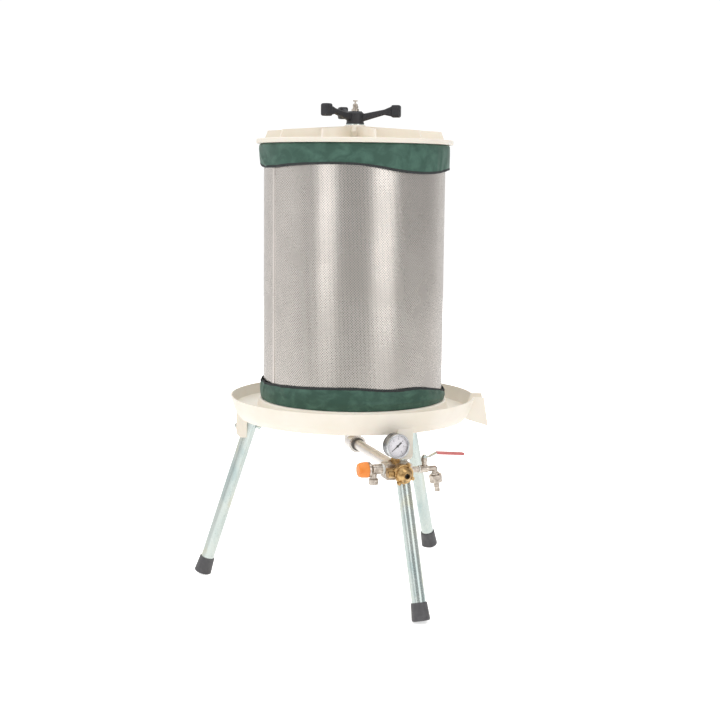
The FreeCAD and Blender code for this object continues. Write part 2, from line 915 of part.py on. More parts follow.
def nut_arm(azimuth):
    """Rising arm that ends in a tall paddle grip."""
    inside = insert_radius + nut_arm_sink
    flare_end = nut_grip_inner_reach + nut_grip_round
    outline = [
        (inside, nut_arm_root_low),
        (nut_hub_radius, nut_arm_root_low),
        (nut_neck_reach, nut_neck_low),
        (flare_end, nut_grip_low + nut_grip_step),
        (flare_end, nut_grip_high - nut_grip_step),
        (nut_neck_reach, nut_neck_high),
        (nut_hub_radius, nut_arm_root_high),
        (inside, nut_arm_root_high)]
    outline = [(reach, nut_bottom + height) for reach, height in outline]
    plate = side_plate(outline, nut_arm_width)
    long_edges = []
    for edge in plate.Edges:
        centre = edge.CenterOfMass
        on_side = abs(abs(centre.x) - nut_arm_width / 2) < 0.01
        if on_side and -centre.y > nut_hub_radius:
            long_edges.append(edge)
    plate = plate.makeChamfer(nut_arm_chamfer, long_edges)
    grip = side_plate([
        (nut_grip_inner_reach, nut_bottom + nut_grip_low),
        (nut_grip_outer_reach, nut_bottom + nut_grip_low),
        (nut_grip_outer_reach, nut_bottom + nut_grip_high),
        (nut_grip_inner_reach, nut_bottom + nut_grip_high)], nut_grip_width)
    grip = grip.makeFillet(nut_grip_round, grip.Edges)
    return turned_to(plate.fuse(grip), azimuth)


def make_handle_nut():
    """Moulded hub and its arms round the threaded insert."""
    top = nut_bottom + nut_hub_height
    hub = revolved([
        (insert_radius + seat_gap, nut_bottom),
        (nut_flange_radius, nut_bottom),
        (nut_flange_radius, nut_bottom + nut_flange_height),
        (nut_hub_radius, nut_bottom + nut_flange_height),
        (nut_hub_radius, top - nut_hub_chamfer),
        (nut_hub_radius - nut_hub_chamfer, top),
        (nut_bore_radius + spindle_thread_play, top),
        (nut_bore_radius + spindle_thread_play, nut_bottom + insert_height + seat_gap),
        (insert_radius + seat_gap, nut_bottom + insert_height + seat_gap)])
    arms = []
    for step in range(nut_arm_count):
        arms.append(nut_arm(nut_arm_azimuth + step * 360.0 / nut_arm_count))
    return fused(hub, *arms)


# Air vent

def make_vent_collar():
    """Sealing collar on the end of the spindle."""
    return ring(vent_collar_radius, spindle_bore_radius + seat_gap,
                spindle_top, spindle_top + vent_collar_height)


def make_vent_body():
    """Turned body whose shank screws into the spindle's bore."""
    foot = spindle_top + vent_collar_height
    top = foot + vent_height
    body = revolved([
        (0, spindle_top - vent_shank_length),
        (spindle_bore_radius - running_gap, spindle_top - vent_shank_length),
        (spindle_bore_radius - running_gap, foot),
        (vent_radius, foot),
        (vent_radius, top - 2),
        (vent_radius - 2, top),
        (0, top)])
    spout = moved(pointing_right(rod(vent_radius / 3, 0, vent_spout_reach)), 0, 0, foot + vent_height / 3)
    stem_hole = rod(vent_stem_radius + running_gap, top - vent_stem_depth, top)
    return fused(body, spout).cut(stem_hole)


def make_vent_tap():
    """Bleed screw with a small cross bar."""
    top = spindle_top + vent_collar_height + vent_height
    bar_low = top + vent_bar_lift
    stem = rod(vent_stem_radius, top - vent_stem_depth + seat_gap, bar_low + vent_bar_height / 2)
    bar = pointing_right(rod(vent_bar_height / 2, -vent_bar_length / 2, vent_bar_length / 2))
    hub = ring(vent_bar_width, vent_stem_radius / 2, bar_low, bar_low + vent_bar_height / 2)
    return fused(stem, moved(bar, 0, 0, bar_low + vent_bar_height / 2), hub)


# Water line

def on_line(shape):
    """Turns a shape that was built to the front round to the water line."""
    return turned_to(shape, line_azimuth)


def make_centre_elbow():
    """Elbow under the hub nut, from the spindle to the supply pipe."""
    upright = rod(elbow_radius, line_height, elbow_top)
    upper_bead = rod(elbow_bead_radius, elbow_top - elbow_bead_width, elbow_top)
    level = rod(elbow_radius, 0, elbow_length)
    outer_bead = rod(elbow_bead_radius, elbow_length - elbow_bead_width, elbow_length)
    level = moved(pointing_out(fused(level, outer_bead)), 0, 0, line_height)
    corner = Part.makeSphere(elbow_radius, Vector(0, 0, line_height))
    elbow = fused(upright, upper_bead, level, corner)
    passage = rod(elbow_passage_radius, line_height, elbow_top)
    socket = rod(nut_bore_radius, spindle_bottom, elbow_top)
    pipe_start = elbow_length + seal_ring_thickness - pipe_in_elbow
    level_passage = moved(pointing_out(rod(elbow_passage_radius, 0, elbow_length)), 0, 0, line_height)
    pipe_socket = rod(pipe_radius + running_gap, pipe_start, elbow_length)
    pipe_socket = moved(pointing_out(pipe_socket), 0, 0, line_height)
    return on_line(elbow.cut([passage, socket, level_passage, pipe_socket]))


def make_pipe_seal_ring():
    """Dark ring where the pipe enters the elbow."""
    seal = ring(seal_ring_radius, pipe_radius + running_gap, elbow_length, elbow_length + seal_ring_thickness)
    return on_line(moved(pointing_out(seal), 0, 0, line_height))


def make_supply_pipe():
    """Pipe from the elbow to the block, with a stepped end."""
    start = elbow_length + seal_ring_thickness - pipe_in_elbow
    pipe = rod(pipe_radius, start, block_reach)
    spigot = rod(pipe_spigot_radius, block_reach, block_reach + pipe_spigot_length)
    bore = rod(pipe_bore_radius, start, block_reach + pipe_spigot_length)
    return on_line(moved(pointing_out(fused(pipe, spigot).cut(bore)), 0, 0, line_height))


def make_manifold_block():
    """Cast block with a port on each side that something screws into."""
    body = block(-block_left, block_right, block_reach, block_front,
                 line_height - block_below, block_top)
    upright_edges = []
    for edge in body.Edges:
        start, end = edge.Vertexes[0].Point, edge.Vertexes[-1].Point
        if abs(start.y - end.y) > 1:
            upright_edges.append(edge)
    body = body.makeFillet(block_corner, upright_edges)
    pipe_port = rod(pipe_spigot_radius + running_gap, block_reach, block_reach + pipe_spigot_length)
    pipe_port = moved(pointing_out(pipe_port), 0, 0, line_height)
    gauge_port = moved(rod(gauge_stem_radius + running_gap, block_top - gauge_stem_depth, block_top),
                       gauge_right, block_middle, 0)
    reducer_port = rod(reducer_spigot_radius + running_gap, block_front - reducer_spigot_depth, block_front)
    reducer_port = moved(pointing_out(reducer_port), reducer_right, 0, reducer_height)
    safety_port = rod(safety_thread_radius + running_gap, block_left - safety_thread_depth, block_left)
    safety_port = moved(pointing_left(safety_port), 0, block_middle, safety_height)
    tap_port = rod(nipple_radius + running_gap, block_right - nipple_in_block, block_right)
    tap_port = moved(pointing_right(tap_port), 0, block_middle, tap_height)
    return on_line(body.cut([pipe_port, gauge_port, reducer_port, safety_port, tap_port]))


# Gauge. It is built facing up, about the middle of its case.

gauge_height = block_top + gauge_stem_height + gauge_radius
gauge_bezel_radius = gauge_radius + running_gap + gauge_bezel_thickness / 2
gauge_front = gauge_lip + gauge_glass_thickness


def on_gauge(shape):
    """Places a shape of the gauge, whose front is up when it is built."""
    shape = turned_to(pointing_out(shape), gauge_turn)
    return on_line(moved(shape, gauge_right, block_middle, gauge_height))


def make_gauge_case():
    """Cup with a hole for the stem."""
    inside = gauge_radius - gauge_wall
    cup = revolved([
        (0, -gauge_back),
        (gauge_radius - gauge_back_chamfer, -gauge_back),
        (gauge_radius, gauge_back_chamfer - gauge_back),
        (gauge_radius, gauge_lip),
        (inside, gauge_lip),
        (inside, gauge_wall - gauge_back),
        (0, gauge_wall - gauge_back)])
    hole = Part.makeCylinder(gauge_stem_radius + running_gap, gauge_radius, ORIGIN, Vector(0, -1, 0))
    return on_gauge(cup.cut(hole))


def make_gauge_bezel():
    """Snap ring that holds the glass."""
    outside = gauge_bezel_radius
    top = gauge_front + gauge_bezel_thickness
    return on_gauge(revolved([
        (outside, gauge_front - gauge_bezel_skirt),
        (outside, top - gauge_bezel_chamfer),
        (outside - gauge_bezel_chamfer, top),
        (gauge_radius - gauge_bezel_width, top),
        (gauge_radius - gauge_bezel_width, gauge_front),
        (gauge_radius + running_gap, gauge_front),
        (gauge_radius + running_gap, gauge_front - gauge_bezel_skirt)]))


def make_gauge_glass():
    """Flat window on the lip of the case."""
    return on_gauge(rod(gauge_radius - gauge_wall / 2, gauge_lip, gauge_front))


def make_gauge_dial():
    """Dial plate with a hole for the arbor."""
    high = gauge_dial_height + gauge_dial_thickness
    return on_gauge(ring(gauge_radius - gauge_wall - seat_gap, 2 * gauge_arbor_radius,
                         gauge_dial_height, high))


def make_gauge_needle():
    """Pointer, its hub and its arbor."""
    low = gauge_dial_height + gauge_dial_thickness + loose_gap
    high = low + gauge_needle_thickness
    tip = gauge_needle_tip / 2
    half = gauge_needle_width / 2
    end = gauge_needle_tail_width / 2
    plate = polygon_face([
        Vector(gauge_needle_length, -tip, low),
        Vector(gauge_needle_length, tip, low),
        Vector(0, half, low),
        Vector(-gauge_needle_tail, end, low),
        Vector(-gauge_needle_tail, -end, low),
        Vector(0, -half, low)]).extrude(Vector(0, 0, high - low))
    plate.rotate(ORIGIN, Z_AXIS, gauge_needle_angle)
    hub = rod(gauge_needle_hub_radius, low, high + gauge_needle_thickness)
    arbor = rod(gauge_arbor_radius, gauge_dial_height - 2, low)
    return on_gauge(fused(plate, hub, arbor))


def make_gauge_bourdon():
    """Movement on its socket, with the curved pressure tube."""
    socket_end = gauge_radius - gauge_socket_length - seat_gap
    half = gauge_frame_width / 2
    frame = Part.makeBox(gauge_frame_width, socket_end + half, gauge_dial_height + gauge_frame_depth,
                         Vector(-half, -socket_end, -gauge_frame_depth))
    arbor_hole = rod(gauge_arbor_radius + running_gap, 0, gauge_dial_height)
    tube = Part.makeTorus(bourdon_radius, bourdon_tube_radius, ORIGIN, Z_AXIS, 0, 360, bourdon_sweep)
    tube.rotate(ORIGIN, Z_AXIS, -90)
    tube.translate(Vector(0, 0, -gauge_frame_depth))
    return on_gauge(fused(frame, tube).cut(arbor_hole))


def make_gauge_stem():
    """Brass socket between the block and the case."""
    nut = chamfered_hexagon(gauge_stem_flats, block_top, gauge_height)
    bezel = rod(gauge_bezel_radius + seat_gap, -gauge_back, gauge_back)
    nut = nut.cut(moved(turned_to(pointing_out(bezel), gauge_turn), 0, 0, gauge_height))
    low = block_top - gauge_stem_depth
    into_case = gauge_height - gauge_radius + gauge_socket_length
    stem = fused(nut, rod(gauge_stem_radius, low, into_case))
    return on_line(moved(stem.cut(rod(gauge_stem_bore, low, into_case)), gauge_right, block_middle, 0))


# Reducer. It is built upwards from the block's front face.

reducer_flange_top = reducer_body_length + reducer_flange_thickness
bonnet_foot = reducer_flange_top + reducer_diaphragm_thickness
bonnet_shoulder = bonnet_foot + reducer_flange_thickness
bonnet_top = bonnet_foot + reducer_bonnet_length
bonnet_cone_foot = bonnet_top - bonnet_nose_length
bonnet_cone_top = bonnet_top - bonnet_tip_length
bonnet_travel = 2.0
adjuster_top = bonnet_top - adjuster_recess
adjuster_bottom = adjuster_top - adjuster_length
spring_seat_top = adjuster_bottom - seat_gap


def on_reducer(shape):
    """Places a shape of the reducer."""
    return on_line(moved(pointing_out(shape), reducer_right, block_front, reducer_height))


def ear_points():
    """Centres of the flange ears."""
    points = []
    for step in range(reducer_ear_count):
        angle = math.radians(reducer_ear_angle + step * 360.0 / reducer_ear_count)
        points.append(Vector(reducer_ear_circle * math.cos(angle), reducer_ear_circle * math.sin(angle), 0))
    return points


def eared_flange(low, high):
    """Round flange with four screw ears and their holes."""
    pieces = []
    holes = []
    for point in ear_points():
        ear = rod(reducer_ear_radius, low, high)
        hole = rod(screw_radius + seat_gap, low, high)
        ear.translate(point)
        hole.translate(point)
        pieces.append(ear)
        holes.append(hole)
    return fused(rod(reducer_flange_radius, low, high), *pieces).cut(holes)


def make_reducer_body():
    """Brass body with a hexagonal side plug."""
    spigot = rod(reducer_spigot_radius, -reducer_spigot_depth, 0)
    barrel = rod(reducer_body_radius, 0, reducer_body_length)
    flange = eared_flange(reducer_body_length, reducer_flange_top)
    boss = turned_to(chamfered_hexagon(reducer_boss_flats, 0, reducer_boss_reach), 90)
    boss = pointing_left(boss)
    boss.translate(Vector(0, 0, reducer_boss_flats / 2 + seat_gap))
    passage = rod(reducer_spigot_radius / 2, -reducer_spigot_depth, reducer_flange_top)
    return on_reducer(fused(spigot, barrel, flange, boss).cut(passage))


def make_reducer_diaphragm():
    """Reinforced rubber disc between the flanges."""
    return on_reducer(rod(reducer_bonnet_foot_radius - screw_radius, reducer_flange_top, bonnet_foot))


def make_reducer_bonnet():
    """Spring housing that tapers in steps from the flange to the adjuster."""
    chamber_high = adjuster_bottom + bonnet_travel + loose_gap
    wall = revolved([
        (reducer_wide_radius, bonnet_foot),
        (reducer_bonnet_foot_radius, bonnet_foot),
        (reducer_bonnet_foot_radius, bonnet_shoulder),
        (reducer_bonnet_foot_radius - bonnet_edge, bonnet_shoulder + 3 * bonnet_edge),
        (reducer_wide_radius, bonnet_cone_foot),
        (reducer_bonnet_tip_radius + bonnet_edge, bonnet_cone_top),
        (reducer_bonnet_tip_radius, bonnet_cone_top + 2 * bonnet_edge),
        (reducer_bonnet_tip_radius, bonnet_top - bonnet_edge),
        (reducer_bonnet_tip_radius - bonnet_edge, bonnet_top),
        (adjuster_radius + running_gap, bonnet_top),
        (adjuster_radius + running_gap, chamber_high),
        (reducer_chamber_radius, chamber_high),
        (reducer_chamber_radius, bonnet_shoulder + 6 * bonnet_edge),
        (reducer_wide_radius, bonnet_shoulder + bonnet_edge)])
    flange = eared_flange(bonnet_foot, bonnet_shoulder).cut(rod(reducer_wide_radius, bonnet_foot, bonnet_top))
    return on_reducer(fused(wall, flange))


def make_reducer_screws():
    """Four cheese head screws through the ears."""
    screws = []
    for point in ear_points():
        head = rod(screw_head_radius, bonnet_shoulder, bonnet_shoulder + screw_head_height)
        slot = Part.makeBox(2 * screw_head_radius, screw_slot, screw_slot,
                            Vector(-screw_head_radius, -screw_slot / 2,
                                   bonnet_shoulder + screw_head_height - screw_slot))
        screw = fused(head.cut(slot), rod(screw_radius, reducer_body_length, bonnet_shoulder))
        screw.translate(point)
        screws.append(screw)
    return on_reducer(Part.makeCompound(screws))


def make_spring_seat():
    """Round seat that the adjusting screw presses on the spring."""
    return on_reducer(rod(spring_seat_radius, spring_seat_top - spring_seat_thickness, spring_seat_top))


def make_reducer_spring():
    """Setting spring between the diaphragm and its seat."""
    return on_reducer(coil(reducer_spring_radius, reducer_spring_wire, reducer_spring_turns,
                           bonnet_foot + seat_gap, spring_seat_top - spring_seat_thickness - seat_gap))


def make_reducer_adjuster():
    """Adjusting screw with a square key socket."""
    screw = rod(adjuster_radius, adjuster_bottom, adjuster_top)
    half = adjuster_key / 2
    key = Part.makeBox(adjuster_key, adjuster_key, adjuster_key_depth,
                       Vector(-half, -half, adjuster_top - adjuster_key_depth))
    return on_reducer(screw.cut(key))


# Safety valve. It is built upwards from the block's left face.

safety_flange_top = safety_length + safety_flange_length
safety_neck_top = safety_flange_top + safety_neck_length
safety_chamber_top = safety_neck_top - safety_chamber_roof
safety_cap_foot = safety_flange_top + loose_gap
plunger_low = safety_chamber_start + seat_gap


def on_safety(shape):
    """Places a shape of the safety valve."""
    return on_line(moved(pointing_left(shape), -block_left, block_middle, safety_height))


def outlet_rod(radius, start, end):
    """Rod on the outlet's axis. Built this way up, -X is the side that points down in place."""
    return Part.makeCylinder(radius, end - start, Vector(-start, 0, safety_outlet_left), Vector(-1, 0, 0))


def make_safety_body():
    """Nickel body with a flared flange and its outlet pointing down."""
    flare = safety_flange_radius - safety_radius
    body = revolved([
        (safety_inlet_radius, -safety_thread_depth),
        (safety_thread_radius, -safety_thread_depth),
        (safety_thread_radius, 0),
        (safety_root_radius, 0),
        (safety_root_radius, safety_root_length),
        (safety_radius, safety_root_length),
        (safety_radius, safety_length),
        (safety_flange_radius, safety_length + flare),
        (safety_flange_radius, safety_flange_top),
        (safety_neck_radius, safety_flange_top),
        (safety_neck_radius, safety_neck_top),
        (plunger_rod_radius + seat_gap, safety_neck_top),
        (plunger_rod_radius + seat_gap, safety_chamber_top),
        (safety_chamber_radius, safety_chamber_top),
        (safety_chamber_radius, safety_chamber_start),
        (safety_inlet_radius, safety_chamber_start)])
    end = safety_outlet_neck_drop + safety_outlet_length
    outlet = fused(outlet_rod(safety_outlet_neck_radius, 0, safety_outlet_neck_drop),
                   outlet_rod(safety_outlet_radius, safety_outlet_neck_drop, end))
    outlet = outlet.cut(rod(safety_chamber_radius, 0, safety_neck_top))
    neck_bore = outlet_rod(safety_outlet_neck_bore, 0, end)
    thread = outlet_rod(safety_outlet_bore_radius, end - safety_outlet_bore_length, end)
    return on_safety(fused(body, outlet).cut([neck_bore, thread]))


def make_safety_seal_ring():
    """Dark ring between the valve and the block."""
    return on_safety(ring(safety_ring_radius, safety_root_radius + running_gap, 0, safety_root_length))


def make_safety_plunger():
    """Valve disc on the rod that the cap lifts."""
    disc = rod(plunger_disc_radius, plunger_low, plunger_low + plunger_disc_thickness)
    stem = rod(plunger_rod_radius, plunger_low, plunger_low + plunger_rod_length)
    return on_safety(fused(disc, stem))


def make_safety_spring():
    """Spring that holds the valve disc shut."""
    low = plunger_low + plunger_disc_thickness + seat_gap
    return on_safety(coil(safety_spring_radius, safety_spring_wire, safety_spring_turns,
                          low, safety_chamber_top - seat_gap))


def make_safety_cap():
    """Hollow test knob with a socket for the rod."""
    foot = safety_cap_foot
    top = foot + safety_cap_length
    roof = top - safety_cap_wall
    shoulder = top - 3 * safety_cap_rounding
    shell = revolved([
        (safety_cap_radius - 1.0, foot),
        (safety_cap_radius, foot + 2.0),
        (safety_cap_end_radius + safety_cap_rounding, shoulder),
        (safety_cap_end_radius, top - safety_cap_rounding / 2),
        (safety_cap_end_radius - safety_cap_rounding, top),
        (0, top),
        (0, roof),
        (safety_cap_end_radius - safety_cap_corner, roof),
        (safety_cap_end_radius + safety_cap_rounding - safety_cap_wall, shoulder),
        (safety_cap_radius - safety_cap_wall, foot + 2.0),
        (safety_cap_radius - safety_cap_wall, foot)])
    rod_end = plunger_low + plunger_rod_length
    socket = rod(safety_cap_socket_radius, safety_neck_top + 1.0, roof + safety_cap_wall / 2)
    socket = socket.cut(rod(plunger_rod_radius + running_gap, foot, rod_end + seat_gap))
    return on_safety(fused(shell, socket))


# Tap. Its barrel runs to the right at the tap's height.

def at_tap(shape, right):
    """Moves an upright shape of the tap to its place on the line."""
    return on_line(moved(shape, right, block_middle, tap_height))


def at_outlet(shape):
    """Places a shape built under the bend of the tap's arm, on the tilted outlet's axis."""
    shape.rotate(ORIGIN, Y_AXIS, -tap_outlet_tilt)
    return at_tap(shape, tap_arm_right)


def level_tap(shape, right):
    """Places a shape that was built upwards along the tap's barrel."""
    return at_tap(pointing_right(shape), right)


def make_tap_nipple():
    """Plain nipple between block and tap."""
    length = nipple_in_block + nipple_visible + tap_ring_thickness + nipple_in_tap
    return level_tap(ring(nipple_radius, nipple_bore_radius, 0, length), block_right - nipple_in_block)


def make_tap_seal_ring():
    """Dark ring between nipple and tap."""
    return level_tap(ring(tap_ring_radius, nipple_radius + running_gap, 0, tap_ring_thickness),
                     tap_start - tap_ring_thickness)


tap_chamber_radius = tap_ball_radius + loose_gap
tap_chamber_end = tap_barrel_length - tap_chamber_floor
tap_chamber_start = 2 * tap_ball_offset - tap_chamber_end
tap_seat_face = math.sqrt((tap_ball_radius + running_gap) ** 2 - (tap_passage_radius + tap_seat_land) ** 2)


def under_bend(shape):
    """Tilts a shape of the outlet and puts it under the bend, before the tap is placed."""
    shape.rotate(ORIGIN, Y_AXIS, -tap_outlet_tilt)
    shape.translate(Vector(tap_arm_length, 0, 0))
    return shape


def make_tap_body():
    """Barrel with the stem's neck and gland, and the arm that bends down to the outlet."""
    barrel = rod(tap_barrel_radius, 0, tap_barrel_length)
    bead_radius = tap_barrel_radius + tap_bead
    start_bead = rod(bead_radius, 0, tap_bead_width)
    end_bead = rod(bead_radius, tap_barrel_length - tap_bead_width, tap_barrel_length)
    arm = rod(tap_arm_radius, tap_barrel_length - 1, tap_arm_length)
    level = pointing_right(fused(barrel, start_bead, end_bead, arm))
    bend = Part.makeSphere(tap_arm_radius, Vector(tap_arm_length, 0, 0))
    drop = rod(tap_arm_radius, -tap_outlet_drop, 0)
    shoulder_low = -tap_outlet_drop - tap_shoulder_height
    shoulder = rod(tap_shoulder_radius, shoulder_low, -tap_outlet_drop)
    thread = rod(tap_thread_radius, shoulder_low - tap_thread_length, shoulder_low)
    outlet = under_bend(fused(drop, shoulder, thread))
    neck = rod(tap_neck_radius, 0, tap_gland_top)
    gland = chamfered_hexagon(tap_gland_flats, tap_gland_top - tap_gland_height, tap_gland_top)
    gland = fused(neck, gland)
    gland.translate(Vector(tap_ball_offset, 0, 0))
    body = fused(level, bend, outlet, gland)
    chamber = pointing_right(rod(tap_chamber_radius, tap_chamber_start, tap_chamber_end))
    inlet = pointing_right(rod(nipple_radius + running_gap, 0, nipple_in_tap + seat_gap))
    passage = pointing_right(rod(tap_passage_radius, 0, tap_arm_length))
    bend_space = Part.makeSphere(tap_passage_radius, Vector(tap_arm_length, 0, 0))
    drain = under_bend(rod(tap_passage_radius, shoulder_low - tap_thread_length, 0))
    stem_hole = rod(tap_stem_radius + running_gap, 0, tap_gland_top)
    stem_hole.translate(Vector(tap_ball_offset, 0, 0))
    body = body.cut([chamber, inlet, passage, bend_space, drain, stem_hole])
    return at_tap(body, tap_start)


def make_tap_ball():
    """Bored ball with a slot for the stem."""
    half = math.sqrt(tap_ball_radius ** 2 - tap_passage_radius ** 2)
    low = Vector(tap_passage_radius, 0, -half)
    high = Vector(tap_passage_radius, 0, half)
    outline = Part.Wire([Part.Arc(low, Vector(tap_ball_radius, 0, 0), high).toShape(),
                         Part.LineSegment(high, low).toShape()])
    ball = pointing_right(Part.Face(outline).revolve(ORIGIN, Z_AXIS, 360))
    slot = Part.makeBox(2 * tap_ball_radius, tap_slot_width, tap_ball_radius,
                        Vector(-tap_ball_radius, -tap_slot_width / 2, tap_ball_radius - tap_slot_depth))
    return at_tap(ball.cut(slot), tap_ball_right)


def make_tap_stem():
    """Stem with a tongue that turns the ball."""
    shaft = rod(tap_stem_radius, tap_ball_radius + seat_gap, tap_stem_top)
    width = tap_slot_width - 2 * seat_gap
    tongue = Part.makeBox(tap_tongue_length, width, tap_slot_depth,
                          Vector(-tap_tongue_length / 2, -width / 2,
                                 tap_ball_radius - tap_slot_depth + seat_gap))
    return at_tap(fused(shaft, tongue), tap_ball_right)


def make_tap_seats():
    """Two plastic rings that the ball seals on."""
    ball = Part.makeSphere(tap_ball_radius + running_gap)
    seats = []
    reach = tap_ball_offset - tap_chamber_start
    for start, end in ((-reach, -tap_seat_face), (tap_seat_face, reach)):
        seat = ring(tap_chamber_radius - running_gap, tap_passage_radius, start, end)
        seats.append(pointing_right(seat).cut(ball))
    return at_tap(Part.makeCompound(seats), tap_ball_right)


def lever_height(right):
    """Height of the lever's lower face over its sloping length, above the tap's axis."""
    start = tap_gland_top + seat_gap + lever_rise
    return start - lever_fall * (right - lever_bend_end) / (lever_length - lever_bend_end)


def lever_bar(start, end, width, margin):
    """Bar along the sloping part of the lever, thicker than it by a margin above and below."""
    corners = [
        (start, lever_height(start) - margin), (end, lever_height(end) - margin),
        (end, lever_height(end) + lever_thickness + margin),
        (start, lever_height(start) + lever_thickness + margin)]
    return polygon_face([Vector(x, -width / 2, z) for x, z in corners]).extrude(Vector(0, width, 0))


def make_tap_lever():
    """Bent flat bar on the stem."""
    low = tap_gland_top + seat_gap
    high = low + lever_thickness
    end = lever_length - grip_end_wall
    corners = [
        (0, low), (lever_bend_start, low), (lever_bend_end, lever_height(lever_bend_end)),
        (end, lever_height(end)), (end, lever_height(end) + lever_thickness),
        (lever_bend_end, lever_height(lever_bend_end) + lever_thickness),
        (lever_bend_start, high), (0, high)]
    bar = polygon_face([Vector(x, -lever_width / 2, z) for x, z in corners]).extrude(
        Vector(0, lever_width, 0))
    lever = fused(bar, rod(lever_hub_radius, low, high))
    return at_tap(lever.cut(rod(tap_stem_radius + running_gap, low, high)), tap_ball_right)


def make_lever_grip():
    """Dipped red sleeve on the lever."""
    margin = (grip_thickness - lever_thickness) / 2
    start = lever_length - grip_length
    sleeve = lever_bar(start, lever_length, grip_width, margin)
    sleeve = sleeve.makeFillet(grip_round, sleeve.Edges)
    space = lever_bar(start - lever_thickness, lever_length - grip_end_wall + running_gap,
                      lever_width + 2 * running_gap, running_gap)
    return at_tap(sleeve.cut(space), tap_ball_right)


def make_lever_nut():
    """Nut that holds the lever on the stem."""
    low = tap_gland_top + seat_gap + lever_thickness
    nut = chamfered_hexagon(lever_nut_flats, low, low + lever_nut_height)
    return at_tap(nut.cut(rod(tap_stem_radius + running_gap, low, low + lever_nut_height)), tap_ball_right)


# Hose union under the tap

thread_end = -tap_outlet_drop - tap_shoulder_height - tap_thread_length
tail_flange_top = thread_end - union_washer_thickness
tail_flange_bottom = tail_flange_top - tail_flange_thickness
union_top = -tap_outlet_drop - tap_shoulder_height - union_start_gap
union_bottom = union_top - union_height
tail_end = tail_flange_bottom - tail_length


def make_union_nut():
    """Hexagonal union nut with an inner lip under the tail's flange."""
    nut = chamfered_hexagon(union_flats, union_bottom, union_top)
    thread = rod(tap_thread_radius + running_gap, tail_flange_bottom - loose_gap, union_top)
    throat = rod(tail_radius + loose_gap, union_bottom, union_top)
    return at_outlet(nut.cut([thread, throat]))


def make_union_washer():
    """Flat rubber washer between the outlet and the tail."""
    return at_outlet(ring(tail_flange_radius, tap_passage_radius, tail_flange_top, thread_end))


def make_hose_tail():
    """Barbed tail with a plain end."""
    tube = rod(tail_radius, tail_end, tail_flange_top)
    flange = rod(tail_flange_radius, tail_flange_bottom, tail_flange_top)
    barbs = []
    for step in range(tail_barb_count):
        low = tail_end + tail_land + step * tail_barb_length
        high = low + tail_barb_length
        barbs.append(revolved([(0, low), (tail_radius, low), (tail_barb_radius, high), (0, high)]))
    return at_outlet(fused(tube, flange, *barbs).cut(rod(tail_bore_radius, tail_end, tail_flange_top)))


# The whole press

def build():
    """Every node of the press by name."""
    nodes = {"tray": make_tray()}
    for side, azimuth in leg_azimuths.items():
        nodes["leg_" + side] = make_leg(azimuth)
        nodes["foot_" + side] = make_foot(azimuth)
    nodes["leg_bolts"] = Part.makeCompound([make_leg_bolt(azimuth) for azimuth in leg_azimuths.values()])
    nodes["leg_nuts"] = Part.makeCompound([make_leg_nut(azimuth) for azimuth in leg_azimuths.values()])
    makers = {
        "spindle": make_spindle,
        "hub_gasket": make_hub_gasket,
        "hub_washer": make_hub_washer,
        "hub_nut": make_hub_nut,
        "bladder": make_bladder,
        "bladder_clamps": make_bladder_clamps,
        "basket": make_basket,
        "basket_rims": make_basket_rims,
        "press_cloth": make_press_cloth,
        "lid": make_lid,
        "thrust_washer": make_thrust_washer,
        "thread_insert": make_thread_insert,
        "handle_nut": make_handle_nut,
        "vent_collar": make_vent_collar,
        "vent_body": make_vent_body,
        "vent_tap": make_vent_tap,
        "centre_elbow": make_centre_elbow,
        "pipe_seal_ring": make_pipe_seal_ring,
        "supply_pipe": make_supply_pipe,
        "manifold_block": make_manifold_block,
        "gauge_stem": make_gauge_stem,
        "gauge_case": make_gauge_case,
        "gauge_bezel": make_gauge_bezel,
        "gauge_glass": make_gauge_glass,
        "gauge_dial": make_gauge_dial,
        "gauge_needle": make_gauge_needle,
        "gauge_bourdon": make_gauge_bourdon,
        "reducer_body": make_reducer_body,
        "reducer_diaphragm": make_reducer_diaphragm,
        "reducer_bonnet": make_reducer_bonnet,
        "reducer_screws": make_reducer_screws,
        "spring_seat": make_spring_seat,
        "reducer_spring": make_reducer_spring,
        "reducer_adjuster": make_reducer_adjuster,
        "safety_body": make_safety_body,
        "safety_seal_ring": make_safety_seal_ring,
        "safety_plunger": make_safety_plunger,
        "safety_spring": make_safety_spring,
        "safety_cap": make_safety_cap,
        "tap_nipple": make_tap_nipple,
        "tap_seal_ring": make_tap_seal_ring,
        "tap_body": make_tap_body,
        "tap_ball": make_tap_ball,
        "tap_stem": make_tap_stem,
        "tap_seats": make_tap_seats,
        "tap_lever": make_tap_lever,
        "lever_grip": make_lever_grip,
        "lever_nut": make_lever_nut,
        "union_nut": make_union_nut,
        "union_washer": make_union_washer,
        "hose_tail": make_hose_tail}
    for name, maker in makers.items():
        nodes[name] = maker()
    return nodes


# The origin is the middle of the press's footprint on the floor.
press = build()
extent = FreeCAD.BoundBox()
for shape in press.values():
    extent.add(shape.optimalBoundingBox(True, False))
for name, shape in press.items():
    shape.translate(Vector(-extent.Center.x, -extent.Center.y, -extent.ZMin))
    shape.exportStep("parts/" + name + ".step")
print("nodes", len(press), "size", [round(value, 2) for value in (
    extent.XLength, extent.YLength, extent.ZLength)])
print("press axis at", round(-extent.Center.x, 3), round(-extent.Center.y, 3),
      "floor shift", round(-extent.ZMin, 4))
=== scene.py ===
import json
import logging
import math
from dataclasses import dataclass, field
from enum import Enum

import bmesh
import bpy
from mathutils import Matrix, Vector, noise


